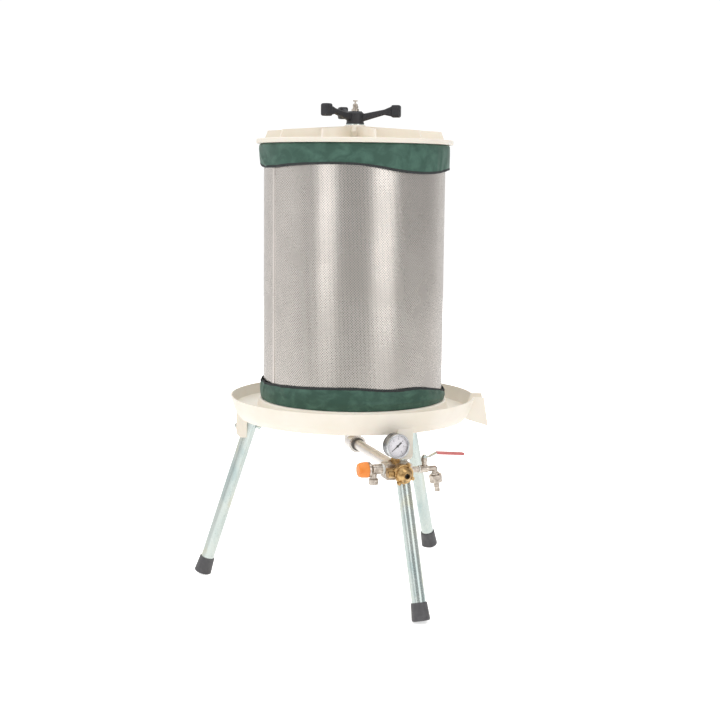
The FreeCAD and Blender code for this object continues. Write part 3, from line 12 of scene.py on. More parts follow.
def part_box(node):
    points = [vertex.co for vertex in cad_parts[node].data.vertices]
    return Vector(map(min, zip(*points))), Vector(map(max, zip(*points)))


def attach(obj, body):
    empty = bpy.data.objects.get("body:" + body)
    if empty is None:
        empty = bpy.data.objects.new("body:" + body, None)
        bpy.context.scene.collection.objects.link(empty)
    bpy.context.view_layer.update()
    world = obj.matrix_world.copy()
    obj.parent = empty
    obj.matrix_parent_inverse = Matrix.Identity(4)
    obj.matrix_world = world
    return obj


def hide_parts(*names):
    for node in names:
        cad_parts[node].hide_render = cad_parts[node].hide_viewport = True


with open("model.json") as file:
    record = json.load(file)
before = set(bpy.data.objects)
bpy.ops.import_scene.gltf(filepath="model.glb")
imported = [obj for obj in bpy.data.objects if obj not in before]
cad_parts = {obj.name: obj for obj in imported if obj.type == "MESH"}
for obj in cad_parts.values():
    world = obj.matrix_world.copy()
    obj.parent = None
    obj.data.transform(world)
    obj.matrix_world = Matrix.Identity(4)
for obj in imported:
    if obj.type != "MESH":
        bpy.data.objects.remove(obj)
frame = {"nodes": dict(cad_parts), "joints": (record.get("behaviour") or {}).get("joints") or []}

log = logging.getLogger("fruit_press")

MM = 0.001
SAME_POINT = 1e-6
Span = tuple[float, float]
PRESS_AXIS = Vector(next(joint["pos_m"] for joint in frame["joints"] if joint["name"] == "nut_turn"))
BASKET_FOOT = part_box("basket")[0].z
BASKET_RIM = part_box("basket")[1].z


# Small tools

def linear(hex_colour: str) -> tuple[float, float, float, float]:
    """Turn an sRGB colour into the linear one that Blender's sockets take.

    Args:
        hex_colour: six hex digits, with or without a leading hash.

    Returns:
        Linear red, green and blue, and an alpha of 1.
    """
    digits = hex_colour.lstrip("#")
    channels = [int(digits[i:i + 2], 16) / 255.0 for i in (0, 2, 4)]
    opened = [c / 12.92 if c <= 0.04045 else ((c + 0.055) / 1.055) ** 2.4 for c in channels]
    return (opened[0], opened[1], opened[2], 1.0)


def per_metre(size_mm: float) -> float:
    """Scale of a noise texture whose features have that size in millimetres."""
    return 1000.0 / size_mm


def bands_per_metre(spacing_mm: float) -> float:
    """Scale of a wave texture whose bands have that spacing in millimetres."""
    return 2.0 * math.pi / 20.0 * 1000.0 / spacing_mm


def add_node(tree: bpy.types.NodeTree, kind: str, settings: dict | None = None,
             inputs: dict | None = None) -> bpy.types.Node:
    """Add a node with its settings and its links.

    Args:
        tree: the tree that takes the node.
        kind: Blender's name for the node type.
        settings: the node's own properties by name.
        inputs: by socket name or number, a value to set or an output socket to link.

    Returns:
        The new node.
    """
    node = tree.nodes.new(kind)
    for name, value in (settings or {}).items():
        setattr(node, name, value)
    for key, value in (inputs or {}).items():
        if isinstance(value, bpy.types.NodeSocket):
            tree.links.new(value, node.inputs[key])
        else:
            node.inputs[key].default_value = value
    return node


def link(name: str, data: bpy.types.ID) -> bpy.types.Object:
    """Put data into the scene as a new object.

    Args:
        name: the object's name.
        data: its mesh, curve, light or camera.

    Returns:
        The new object.
    """
    holder = bpy.data.objects.new(name, data)
    bpy.context.scene.collection.objects.link(holder)
    return holder


def sew(shape: bmesh.types.BMesh) -> None:
    """Join a shape's edges where they meet, then point its faces outwards."""
    bmesh.ops.remove_doubles(shape, verts=shape.verts, dist=SAME_POINT)
    bmesh.ops.recalc_face_normals(shape, faces=shape.faces)


def thicken(piece: bpy.types.Object, name: str, thickness: float) -> None:
    """Give a sheet its thickness, half to each side.

    Args:
        piece: the sheet.
        name: the modifier's name.
        thickness: in metres.
    """
    wall = piece.modifiers.new(name, "SOLIDIFY")
    wall.thickness = thickness
    wall.offset = 0.0


def smooth_step(value: float) -> float:
    """Ease a value from 0 to 1, held at both ends."""
    held = min(max(value, 0.0), 1.0)
    return held * held * (3.0 - 2.0 * held)


def around(azimuth_deg: float, radius: float, height: float) -> Vector:
    """Point round the press axis, at an azimuth counted from the front towards the right."""
    turn = math.radians(azimuth_deg)
    return PRESS_AXIS + Vector((radius * math.sin(turn), -radius * math.cos(turn), height))


def make_piece(name: str, shape: bmesh.types.BMesh, finish: "Finish", body: str,
               smooth: bool = True) -> bpy.types.Object:
    """Turn a finished bmesh into a piece that rides on a body.

    Args:
        name: the piece's name.
        shape: its mesh, which is freed.
        finish: its surface finish.
        body: the CAD body that carries it.
        smooth: whether its faces are shaded smooth.

    Returns:
        The new object.
    """
    for face in shape.faces:
        face.smooth = smooth
    mesh = bpy.data.meshes.new(name)
    shape.to_mesh(mesh)
    shape.free()
    piece = link(name, mesh)
    mesh.materials.append(finish.material())
    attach(piece, body)
    return piece


# Finishes

@dataclass(frozen=True)
class Finish:
    """What a surface is made of and how it was made."""

    name: str

    def surface(self, tree: bpy.types.NodeTree) -> dict:
        """Return the shader's inputs, by socket name."""
        raise NotImplementedError

    def material(self) -> bpy.types.Material:
        """Build the material once, and return the same one after that.

        Returns:
            The material with the finish's name.
        """
        known = bpy.data.materials.get(self.name)
        if known is not None:
            return known
        material = bpy.data.materials.new(self.name)
        material.use_nodes = True
        tree = material.node_tree
        tree.nodes.clear()
        shader = add_node(tree, "ShaderNodeBsdfPrincipled", {}, self.surface(tree))
        add_node(tree, "ShaderNodeOutputMaterial", {}, {"Surface": shader.outputs["BSDF"]})
        return material


@dataclass(frozen=True)
class MouldedPlastic(Finish):
    """Injection moulded plastic: even colour with a faint drift, soft gloss and a fine mould grain."""

    colour: str
    shade: str
    roughness: float = 0.38
    drift_mm: float = 90.0
    grain_mm: float = 0.9
    grain_depth_mm: float = 0.03
    subsurface: float = 0.0
    subsurface_reach: float = 4.0 * MM
    gloss_stray: Span = (-0.05, 0.07)

    def surface(self, tree: bpy.types.NodeTree) -> dict:
        """Add the patterns that the finish shows.

        Args:
            tree: the material's tree, which takes the nodes.

        Returns:
            The shader's inputs, by socket name.
        """
        place = add_node(tree, "ShaderNodeTexCoord").outputs["Object"]
        drift = add_node(tree, "ShaderNodeTexNoise", {}, {
            "Vector": place, "Scale": per_metre(self.drift_mm), "Detail": 3.0}).outputs[0]
        grain = add_node(tree, "ShaderNodeTexNoise", {}, {
            "Vector": place, "Scale": per_metre(self.grain_mm), "Detail": 2.0}).outputs[0]
        tone = add_node(tree, "ShaderNodeMapRange", {}, {
            "Value": drift, "From Min": 0.35, "From Max": 0.7}).outputs[0]
        colour = add_node(tree, "ShaderNodeMix", {"data_type": "RGBA"}, {
            0: tone, 6: linear(self.colour), 7: linear(self.shade)}).outputs[2]
        gloss = add_node(tree, "ShaderNodeMapRange", {}, {
            "Value": grain, "To Min": self.roughness + self.gloss_stray[0],
            "To Max": self.roughness + self.gloss_stray[1]}).outputs[0]
        relief = add_node(tree, "ShaderNodeBump", {}, {
            "Height": grain, "Distance": self.grain_depth_mm * MM, "Strength": 0.7}).outputs[0]
        return {"Base Color": colour, "Roughness": gloss, "Normal": relief, "IOR": 1.5,
                "Subsurface Weight": self.subsurface, "Subsurface Scale": self.subsurface_reach}


@dataclass(frozen=True)
class MouldedRubber(Finish):
    """Moulded rubber: matt, slightly chalky where it was handled, with a pebbled skin."""

    colour: str
    bloom: str
    roughness: float = 0.62
    grain_mm: float = 0.7
    grain_depth_mm: float = 0.06
    chalk_mm: float = 14.0

    def surface(self, tree: bpy.types.NodeTree) -> dict:
        """Add the patterns that the finish shows.

        Args:
            tree: the material's tree, which takes the nodes.

        Returns:
            The shader's inputs, by socket name.
        """
        place = add_node(tree, "ShaderNodeTexCoord").outputs["Object"]
        chalk = add_node(tree, "ShaderNodeTexNoise", {}, {
            "Vector": place, "Scale": per_metre(self.chalk_mm), "Detail": 5.0, "Roughness": 0.65}).outputs[0]
        amount = add_node(tree, "ShaderNodeMapRange", {}, {
            "Value": chalk, "From Min": 0.45, "From Max": 0.8, "To Max": 0.6}).outputs[0]
        colour = add_node(tree, "ShaderNodeMix", {"data_type": "RGBA"}, {
            0: amount, 6: linear(self.colour), 7: linear(self.bloom)}).outputs[2]
        pebbles = add_node(tree, "ShaderNodeTexNoise", {}, {
            "Vector": place, "Scale": per_metre(self.grain_mm), "Detail": 2.0}).outputs[0]
        relief = add_node(tree, "ShaderNodeBump", {}, {
            "Height": pebbles, "Distance": self.grain_depth_mm * MM, "Strength": 0.8}).outputs[0]
        return {"Base Color": colour, "Roughness": self.roughness, "Normal": relief, "IOR": 1.5}


@dataclass(frozen=True)
class PlatedSteel(Finish):
    """Bright zinc plated steel: a pale metal with the blue, green and straw tints of its passivation."""

    colour: str
    cool: str
    straw: str
    roughness: float = 0.3
    cloud_mm: float = 38.0
    drawn_out: float = 0.35
    scuff_mm: float = 3.0
    scuff_depth_mm: float = 0.03
    gloss_stray: Span = (-0.06, 0.12)

    def surface(self, tree: bpy.types.NodeTree) -> dict:
        """Add the patterns that the finish shows.

        Args:
            tree: the material's tree, which takes the nodes.

        Returns:
            The shader's inputs, by socket name.
        """
        place = add_node(tree, "ShaderNodeTexCoord").outputs["Object"]
        along = add_node(tree, "ShaderNodeMapping", {}, {
            "Vector": place, "Scale": (1.0, 1.0, self.drawn_out)}).outputs[0]
        cloud = add_node(tree, "ShaderNodeTexNoise", {}, {
            "Vector": along, "Scale": per_metre(self.cloud_mm), "Detail": 4.0, "Distortion": 0.6}).outputs[0]
        cool_part = add_node(tree, "ShaderNodeMapRange", {}, {
            "Value": cloud, "From Min": 0.5, "From Max": 0.72, "To Max": 0.75}).outputs[0]
        straw_part = add_node(tree, "ShaderNodeMapRange", {}, {
            "Value": cloud, "From Min": 0.46, "From Max": 0.28, "To Max": 0.7}).outputs[0]
        cooled = add_node(tree, "ShaderNodeMix", {"data_type": "RGBA"}, {
            0: cool_part, 6: linear(self.colour), 7: linear(self.cool)}).outputs[2]
        colour = add_node(tree, "ShaderNodeMix", {"data_type": "RGBA"}, {
            0: straw_part, 6: cooled, 7: linear(self.straw)}).outputs[2]
        scuffs = add_node(tree, "ShaderNodeTexNoise", {}, {
            "Vector": place, "Scale": per_metre(self.scuff_mm), "Detail": 6.0, "Roughness": 0.7}).outputs[0]
        gloss = add_node(tree, "ShaderNodeMapRange", {}, {
            "Value": scuffs, "From Min": 0.3, "From Max": 0.75,
            "To Min": self.roughness + self.gloss_stray[0],
            "To Max": self.roughness + self.gloss_stray[1]}).outputs[0]
        relief = add_node(tree, "ShaderNodeBump", {}, {
            "Height": scuffs, "Distance": self.scuff_depth_mm * MM, "Strength": 0.5}).outputs[0]
        return {"Base Color": colour, "Metallic": 1.0, "Roughness": gloss, "Normal": relief}


@dataclass(frozen=True)
class SheetSteel(Finish):
    """Mill finished stainless steel: warm grey metal whose soft reflections run along the rolled sheet."""

    colour: str
    dull: str
    roughness: float = 0.3
    wave_mm: float = 60.0
    wave_depth_mm: float = 1.2
    drawn_out: float = 0.06
    smear_mm: float = 110.0
    gloss_stray: Span = (-0.05, 0.06)

    def surface(self, tree: bpy.types.NodeTree) -> dict:
        """Add the patterns that the finish shows.

        Args:
            tree: the material's tree, which takes the nodes.

        Returns:
            The shader's inputs, by socket name.
        """
        place = add_node(tree, "ShaderNodeTexCoord").outputs["Object"]
        upright = add_node(tree, "ShaderNodeMapping", {}, {
            "Vector": place, "Scale": (1.0, 1.0, self.drawn_out)}).outputs[0]
        waves = add_node(tree, "ShaderNodeTexNoise", {}, {
            "Vector": upright, "Scale": per_metre(self.wave_mm), "Detail": 1.0}).outputs[0]
        smears = add_node(tree, "ShaderNodeTexNoise", {}, {
            "Vector": place, "Scale": per_metre(self.smear_mm), "Detail": 4.0}).outputs[0]
        amount = add_node(tree, "ShaderNodeMapRange", {}, {
            "Value": smears, "From Min": 0.35, "From Max": 0.7}).outputs[0]
        colour = add_node(tree, "ShaderNodeMix", {"data_type": "RGBA"}, {
            0: amount, 6: linear(self.colour), 7: linear(self.dull)}).outputs[2]
        gloss = add_node(tree, "ShaderNodeMapRange", {}, {
            "Value": smears, "To Min": self.roughness + self.gloss_stray[0],
            "To Max": self.roughness + self.gloss_stray[1]}).outputs[0]
        relief = add_node(tree, "ShaderNodeBump", {}, {
            "Height": waves, "Distance": self.wave_depth_mm * MM, "Strength": 0.35}).outputs[0]
        return {"Base Color": colour, "Metallic": 1.0, "Roughness": gloss, "Normal": relief}


@dataclass(frozen=True)
class CastMetal(Finish):
    """Plated casting: a bright skin over the shallow grain of the mould, duller where it was left raw."""

    colour: str
    dull: str
    roughness: float = 0.26
    grain_mm: float = 1.4
    grain_depth_mm: float = 0.06
    patch_mm: float = 9.0
    gloss_stray: Span = (-0.07, 0.14)

    def surface(self, tree: bpy.types.NodeTree) -> dict:
        """Add the patterns that the finish shows.

        Args:
            tree: the material's tree, which takes the nodes.

        Returns:
            The shader's inputs, by socket name.
        """
        place = add_node(tree, "ShaderNodeTexCoord").outputs["Object"]
        patches = add_node(tree, "ShaderNodeTexNoise", {}, {
            "Vector": place, "Scale": per_metre(self.patch_mm), "Detail": 5.0, "Roughness": 0.6}).outputs[0]
        amount = add_node(tree, "ShaderNodeMapRange", {}, {
            "Value": patches, "From Min": 0.42, "From Max": 0.68}).outputs[0]
        colour = add_node(tree, "ShaderNodeMix", {"data_type": "RGBA"}, {
            0: amount, 6: linear(self.colour), 7: linear(self.dull)}).outputs[2]
        gloss = add_node(tree, "ShaderNodeMapRange", {}, {
            "Value": patches, "From Min": 0.3, "From Max": 0.7,
            "To Min": self.roughness + self.gloss_stray[0],
            "To Max": self.roughness + self.gloss_stray[1]}).outputs[0]
        grain = add_node(tree, "ShaderNodeTexNoise", {}, {
            "Vector": place, "Scale": per_metre(self.grain_mm), "Detail": 3.0}).outputs[0]
        relief = add_node(tree, "ShaderNodeBump", {}, {
            "Height": grain, "Distance": self.grain_depth_mm * MM, "Strength": 0.6}).outputs[0]
        return {"Base Color": colour, "Metallic": 1.0, "Roughness": gloss, "Normal": relief}


@dataclass(frozen=True)
class ClearWindow(Finish):
    """Clear acrylic window: seen by its gloss alone, with the dial plain behind it."""

    tint: str
    haze: float = 0.08
    wipe_mm: float = 12.0

    def surface(self, tree: bpy.types.NodeTree) -> dict:
        """Add the patterns that the finish shows.

        Args:
            tree: the material's tree, which takes the nodes.

        Returns:
            The shader's inputs, by socket name.
        """
        place = add_node(tree, "ShaderNodeTexCoord").outputs["Object"]
        wipes = add_node(tree, "ShaderNodeTexNoise", {}, {
            "Vector": place, "Scale": per_metre(self.wipe_mm), "Detail": 3.0}).outputs[0]
        gloss = add_node(tree, "ShaderNodeMapRange", {}, {
            "Value": wipes, "To Min": 0.03, "To Max": 0.1}).outputs[0]
        return {"Base Color": linear(self.tint), "Roughness": gloss, "IOR": 1.49, "Alpha": self.haze}


@dataclass(frozen=True)
class WovenPolyester(Finish):
    """Plain woven polyester press cloth: a tight weave with a silky sheen, and painted highlights that make
    it paler where its crease relief stands up.

    The threads of the real cloth lie about 0.5 mm apart, which is finer than the render can show, so they
    are drawn 2 mm apart.
    """

    colour: str
    # pale is the colour of the painted highlights on the crease ridges
    pale: str
    deep: str
    thread_mm: float = 2.0
    thread_depth_mm: float = 0.12
    crease_mm: float = 30.0
    crease_depth_mm: float = 2.5
    crease_stretch: float = 1.25

    def surface(self, tree: bpy.types.NodeTree) -> dict:
        """Add the patterns that the finish shows.

        Args:
            tree: the material's tree, which takes the nodes.

        Returns:
            The shader's inputs, by socket name.
        """
        flat = add_node(tree, "ShaderNodeTexCoord").outputs["UV"]
        warp = add_node(tree, "ShaderNodeTexWave", {"bands_direction": "X"}, {
            "Vector": flat, "Scale": bands_per_metre(self.thread_mm)}).outputs[1]
        weft = add_node(tree, "ShaderNodeTexWave", {"bands_direction": "Y"}, {
            "Vector": flat, "Scale": bands_per_metre(self.thread_mm)}).outputs[1]
        weave = add_node(tree, "ShaderNodeMath", {"operation": "MULTIPLY"}, {0: warp, 1: weft}).outputs[0]
        stretched = add_node(tree, "ShaderNodeMapping", {}, {
            "Vector": flat, "Scale": (1.0, self.crease_stretch, 1.0)}).outputs[0]
        crease = add_node(tree, "ShaderNodeTexNoise", {}, {
            "Vector": stretched, "Scale": per_metre(self.crease_mm), "Detail": 4.0, "Roughness": 0.55,
            "Distortion": 0.5}).outputs[0]
        # painted highlight: the colour turns pale where the crease noise is high, the same noise that raises
        # the crease relief
        lit = add_node(tree, "ShaderNodeMapRange", {}, {
            "Value": crease, "From Min": 0.42, "From Max": 0.74, "To Max": 0.66}).outputs[0]
        sunk = add_node(tree, "ShaderNodeMapRange", {}, {
            "Value": weave, "From Min": 0.3, "From Max": 0.0, "To Max": 0.45}).outputs[0]
        lighter = add_node(tree, "ShaderNodeMix", {"data_type": "RGBA"}, {
            0: lit, 6: linear(self.colour), 7: linear(self.pale)}).outputs[2]
        colour = add_node(tree, "ShaderNodeMix", {"data_type": "RGBA"}, {
            0: sunk, 6: lighter, 7: linear(self.deep)}).outputs[2]
        puckers = add_node(tree, "ShaderNodeBump", {}, {
            "Height": crease, "Distance": self.crease_depth_mm * MM, "Strength": 0.5}).outputs[0]
        relief = add_node(tree, "ShaderNodeBump", {}, {
            "Height": weave, "Distance": self.thread_depth_mm * MM, "Strength": 0.5,
            "Normal": puckers}).outputs[0]
        return {"Base Color": colour, "Roughness": 0.56, "Normal": relief, "IOR": 1.5,
                "Sheen Weight": 0.08, "Sheen Roughness": 0.4, "Sheen Tint": linear("#B9D2C4")}


@dataclass(frozen=True)
class OverlockThread(Finish):
    """Overlocked edge: dark thread wound round the cloth's edge in slanting stitches 3 mm apart."""

    colour: str
    gap: str
    stitch_mm: float = 3.0
    stitch_depth_mm: float = 0.5
    slant_deg: float = 24.0

    def surface(self, tree: bpy.types.NodeTree) -> dict:
        """Add the patterns that the finish shows.

        Args:
            tree: the material's tree, which takes the nodes.

        Returns:
            The shader's inputs, by socket name.
        """
        flat = add_node(tree, "ShaderNodeTexCoord").outputs["UV"]
        slanted = add_node(tree, "ShaderNodeMapping", {}, {
            "Vector": flat, "Rotation": (0.0, 0.0, math.radians(self.slant_deg))}).outputs[0]
        stitches = add_node(tree, "ShaderNodeTexWave", {"bands_direction": "X"}, {
            "Vector": slanted, "Scale": bands_per_metre(self.stitch_mm), "Distortion": 0.6}).outputs[1]
        colour = add_node(tree, "ShaderNodeMix", {"data_type": "RGBA"}, {
            0: stitches, 6: linear(self.gap), 7: linear(self.colour)}).outputs[2]
        relief = add_node(tree, "ShaderNodeBump", {}, {
            "Height": stitches, "Distance": self.stitch_depth_mm * MM, "Strength": 0.8}).outputs[0]
        return {"Base Color": colour, "Roughness": 0.82, "Normal": relief, "IOR": 1.5}


@dataclass(frozen=True)
class PrintedCard(Finish):
    """Printed sheet or ink: a flat matt coat with the faintest tooth."""

    colour: str
    tooth: str
    speck_mm: float = 0.8

    def surface(self, tree: bpy.types.NodeTree) -> dict:
        """Add the patterns that the finish shows.

        Args:
            tree: the material's tree, which takes the nodes.

        Returns:
            The shader's inputs, by socket name.
        """
        place = add_node(tree, "ShaderNodeTexCoord").outputs["Object"]
        specks = add_node(tree, "ShaderNodeTexNoise", {}, {
            "Vector": place, "Scale": per_metre(self.speck_mm), "Detail": 2.0}).outputs[0]
        colour = add_node(tree, "ShaderNodeMix", {"data_type": "RGBA"}, {
            0: specks, 6: linear(self.colour), 7: linear(self.tooth)}).outputs[2]
        return {"Base Color": colour, "Roughness": 0.5, "IOR": 1.5}


class Surfaces(Enum):
    """The finishes of the press, by what each is on."""

    CREAM = MouldedPlastic("HDPE_injection_moulded_cream", "#F1EADE", "#EAE2D3", 0.42, subsurface=0.05)
    NYLON = MouldedPlastic("glass_filled_nylon_moulded_black", "#2F2F34", "#28282C", 0.5, 60.0, 0.7, 0.05)
    ORANGE = MouldedPlastic("polypropylene_moulded_orange", "#F0923E", "#E88430", 0.4, 12.0, 0.6, 0.02, 0.08)
    RED_GRIP = MouldedPlastic("PVC_dipped_red", "#CE7573", "#BC6563", 0.36, 20.0, 1.2, 0.05)
    PTFE = MouldedPlastic("PTFE_turned_white", "#EFEFEA", "#E4E4DE", 0.5, 10.0, 0.5, 0.02)
    FOOT = MouldedRubber("SBR_rubber_moulded_grey", "#4D4C4E", "#6A696C", 0.42)
    SEAL = MouldedRubber("nitrile_rubber_moulded_black", "#2E2E2F", "#4A4A4B", 0.5)
    PIPE_SEAL = MouldedRubber("EPDM_rubber_moulded_grey", "#5A5855", "#74716D", 0.5)
    BLADDER = MouldedRubber("natural_rubber_moulded_black", "#2B2928", "#57544F", 0.6, 1.2)
    ZINC = PlatedSteel("steel_zinc_plated", "#C9D1CD", "#A9BCBD", "#D0CDB4", 0.22)
    STAINLESS = SheetSteel("stainless_steel_mill_finish", "#E2DBD5", "#D5CEC8", 0.26)
    NICKEL = CastMetal("brass_casting_nickel_plated", "#CDC3B8", "#9E9286", 0.27)
    BRASS = CastMetal("brass_turned_raw", "#CFAC77", "#8A6A42", 0.28, 0.8, 0.03)
    BURNISHED = CastMetal("steel_burnished_dark", "#57514B", "#35312D", 0.36, 0.8, 0.03)
    GAUGE = CastMetal("steel_case_pressed_satin", "#98989A", "#4C4D4F", 0.3, 2.2)
    BEZEL = CastMetal("steel_bezel_rolled_bright", "#CDCED0", "#A2A3A6", 0.22, 1.0, 0.02)
    WINDOW = ClearWindow("acrylic_clear", "#FFFFFF", 0.05)
    DIAL = PrintedCard("aluminium_printed_white", "#F1EEF3", "#E7E4EA")
    INK = PrintedCard("screen_ink_black", "#1C1C1E", "#2A2A2C")
    CLOTH = WovenPolyester("polyester_press_cloth_woven_green", "#33594B", "#5E8878", "#1F3A30")
    HEM = OverlockThread("polyester_thread_overlocked_black", "#3D4344", "#1D2021")


CAD_FINISHES: dict[str, Surfaces] = {
    "cream_moulding": Surfaces.CREAM,
    "zinc_plated": Surfaces.ZINC,
    "foot_rubber": Surfaces.FOOT,
    "stainless": Surfaces.STAINLESS,
    "press_cloth": Surfaces.CLOTH,
    "bladder_rubber": Surfaces.BLADDER,
    "seal_rubber": Surfaces.SEAL,
    "handle_moulding": Surfaces.NYLON,
    "cast_nickel": Surfaces.NICKEL,
    "raw_brass": Surfaces.BRASS,
    "dark_steel": Surfaces.BURNISHED,
    "gauge_steel": Surfaces.GAUGE,
    "gauge_glass": Surfaces.WINDOW,
    "gauge_dial": Surfaces.DIAL,
    "needle": Surfaces.INK,
    "orange_plastic": Surfaces.ORANGE,
    "red_grip": Surfaces.RED_GRIP,
    "seat_plastic": Surfaces.PTFE,
}

NODE_FINISHES: dict[str, Surfaces] = {"gauge_bezel": Surfaces.BEZEL, "pipe_seal_ring": Surfaces.PIPE_SEAL}


def dress_cad_nodes() -> None:
    """Give each carried-over CAD node its procedural material."""
    for name, node in frame["nodes"].items():
        for slot in node.material_slots:
            finish = NODE_FINISHES.get(name, CAD_FINISHES[slot.material.name])
            slot.material = finish.value.material()
    log.info("dressed %d CAD nodes", len(frame["nodes"]))


# Press cloth

class Side(Enum):
    """Which end of the sleeve a turned-out band belongs to."""

    TOP = "top"
    BOTTOM = "bottom"


@dataclass(frozen=True)
class Fold:
    """A crease in a turned-out band.

    Attributes:
        azimuth: degrees round the press, at the hem.
        width: degrees from its ridge to where it fades.
        depth: how far it stands out, in millimetres; negative sinks in.
        lean: degrees that it leans over from the hem to the rim.
        flattens: share of its depth that it has lost at the rim.
    """

    azimuth: float
    width: float
    depth: float
    lean: float = 0.0
    flattens: float = 0.75

    def rise(self, azimuth: float, from_hem: float) -> float:
        """Return how far the cloth stands out here.

        Args:
            azimuth: degrees round the press.
            from_hem: 0 at the hem, 1 at the rim.

        Returns:
            The rise in metres.
        """
        middle = self.azimuth + self.lean * from_hem
        off = (azimuth - middle + 180.0) % 360.0 - 180.0
        return self.depth * MM * math.exp(-(off / self.width) ** 2) * (1.0 - self.flattens * from_hem)


def window(azimuth: float, limits: Span, ease: float) -> float:
    """Return 1 well inside some limits of azimuth and 0 outside; ease is the degrees that each end takes."""
    return smooth_step((azimuth - limits[0]) / ease) * smooth_step((limits[1] - azimuth) / ease)


def hem_width(points: tuple[Span, ...], azimuth: float) -> float:
    """Width of a turned-out band at an azimuth, on a smooth line through its known widths.

    Args:
        points: azimuth in degrees and width in millimetres, in order round the press from -180 to 180.
        azimuth: degrees from -180 to 180.

    Returns:
        The width in metres.
    """
    before = [(at - 360.0, width) for at, width in points[:-1]]
    after = [(at + 360.0, width) for at, width in points[1:]]
    line = before + list(points) + after
    right = next(index for index, (at, _) in enumerate(line) if azimuth <= at and at > points[0][0])
    (at_0, width_0), (at_1, width_1), (at_2, width_2), (at_3, width_3) = line[right - 2:right + 2]
    span = at_2 - at_1
    share = (azimuth - at_1) / span
    slope_1 = (width_2 - width_0) / (at_2 - at_0) * span
    slope_2 = (width_3 - width_1) / (at_3 - at_1) * span
    cube, square = share ** 3, share ** 2
    width = (2 * cube - 3 * square + 1) * width_1 + (cube - 2 * square + share) * slope_1 \
        + (3 * square - 2 * cube) * width_2 + (cube - square) * slope_2
    return width * MM


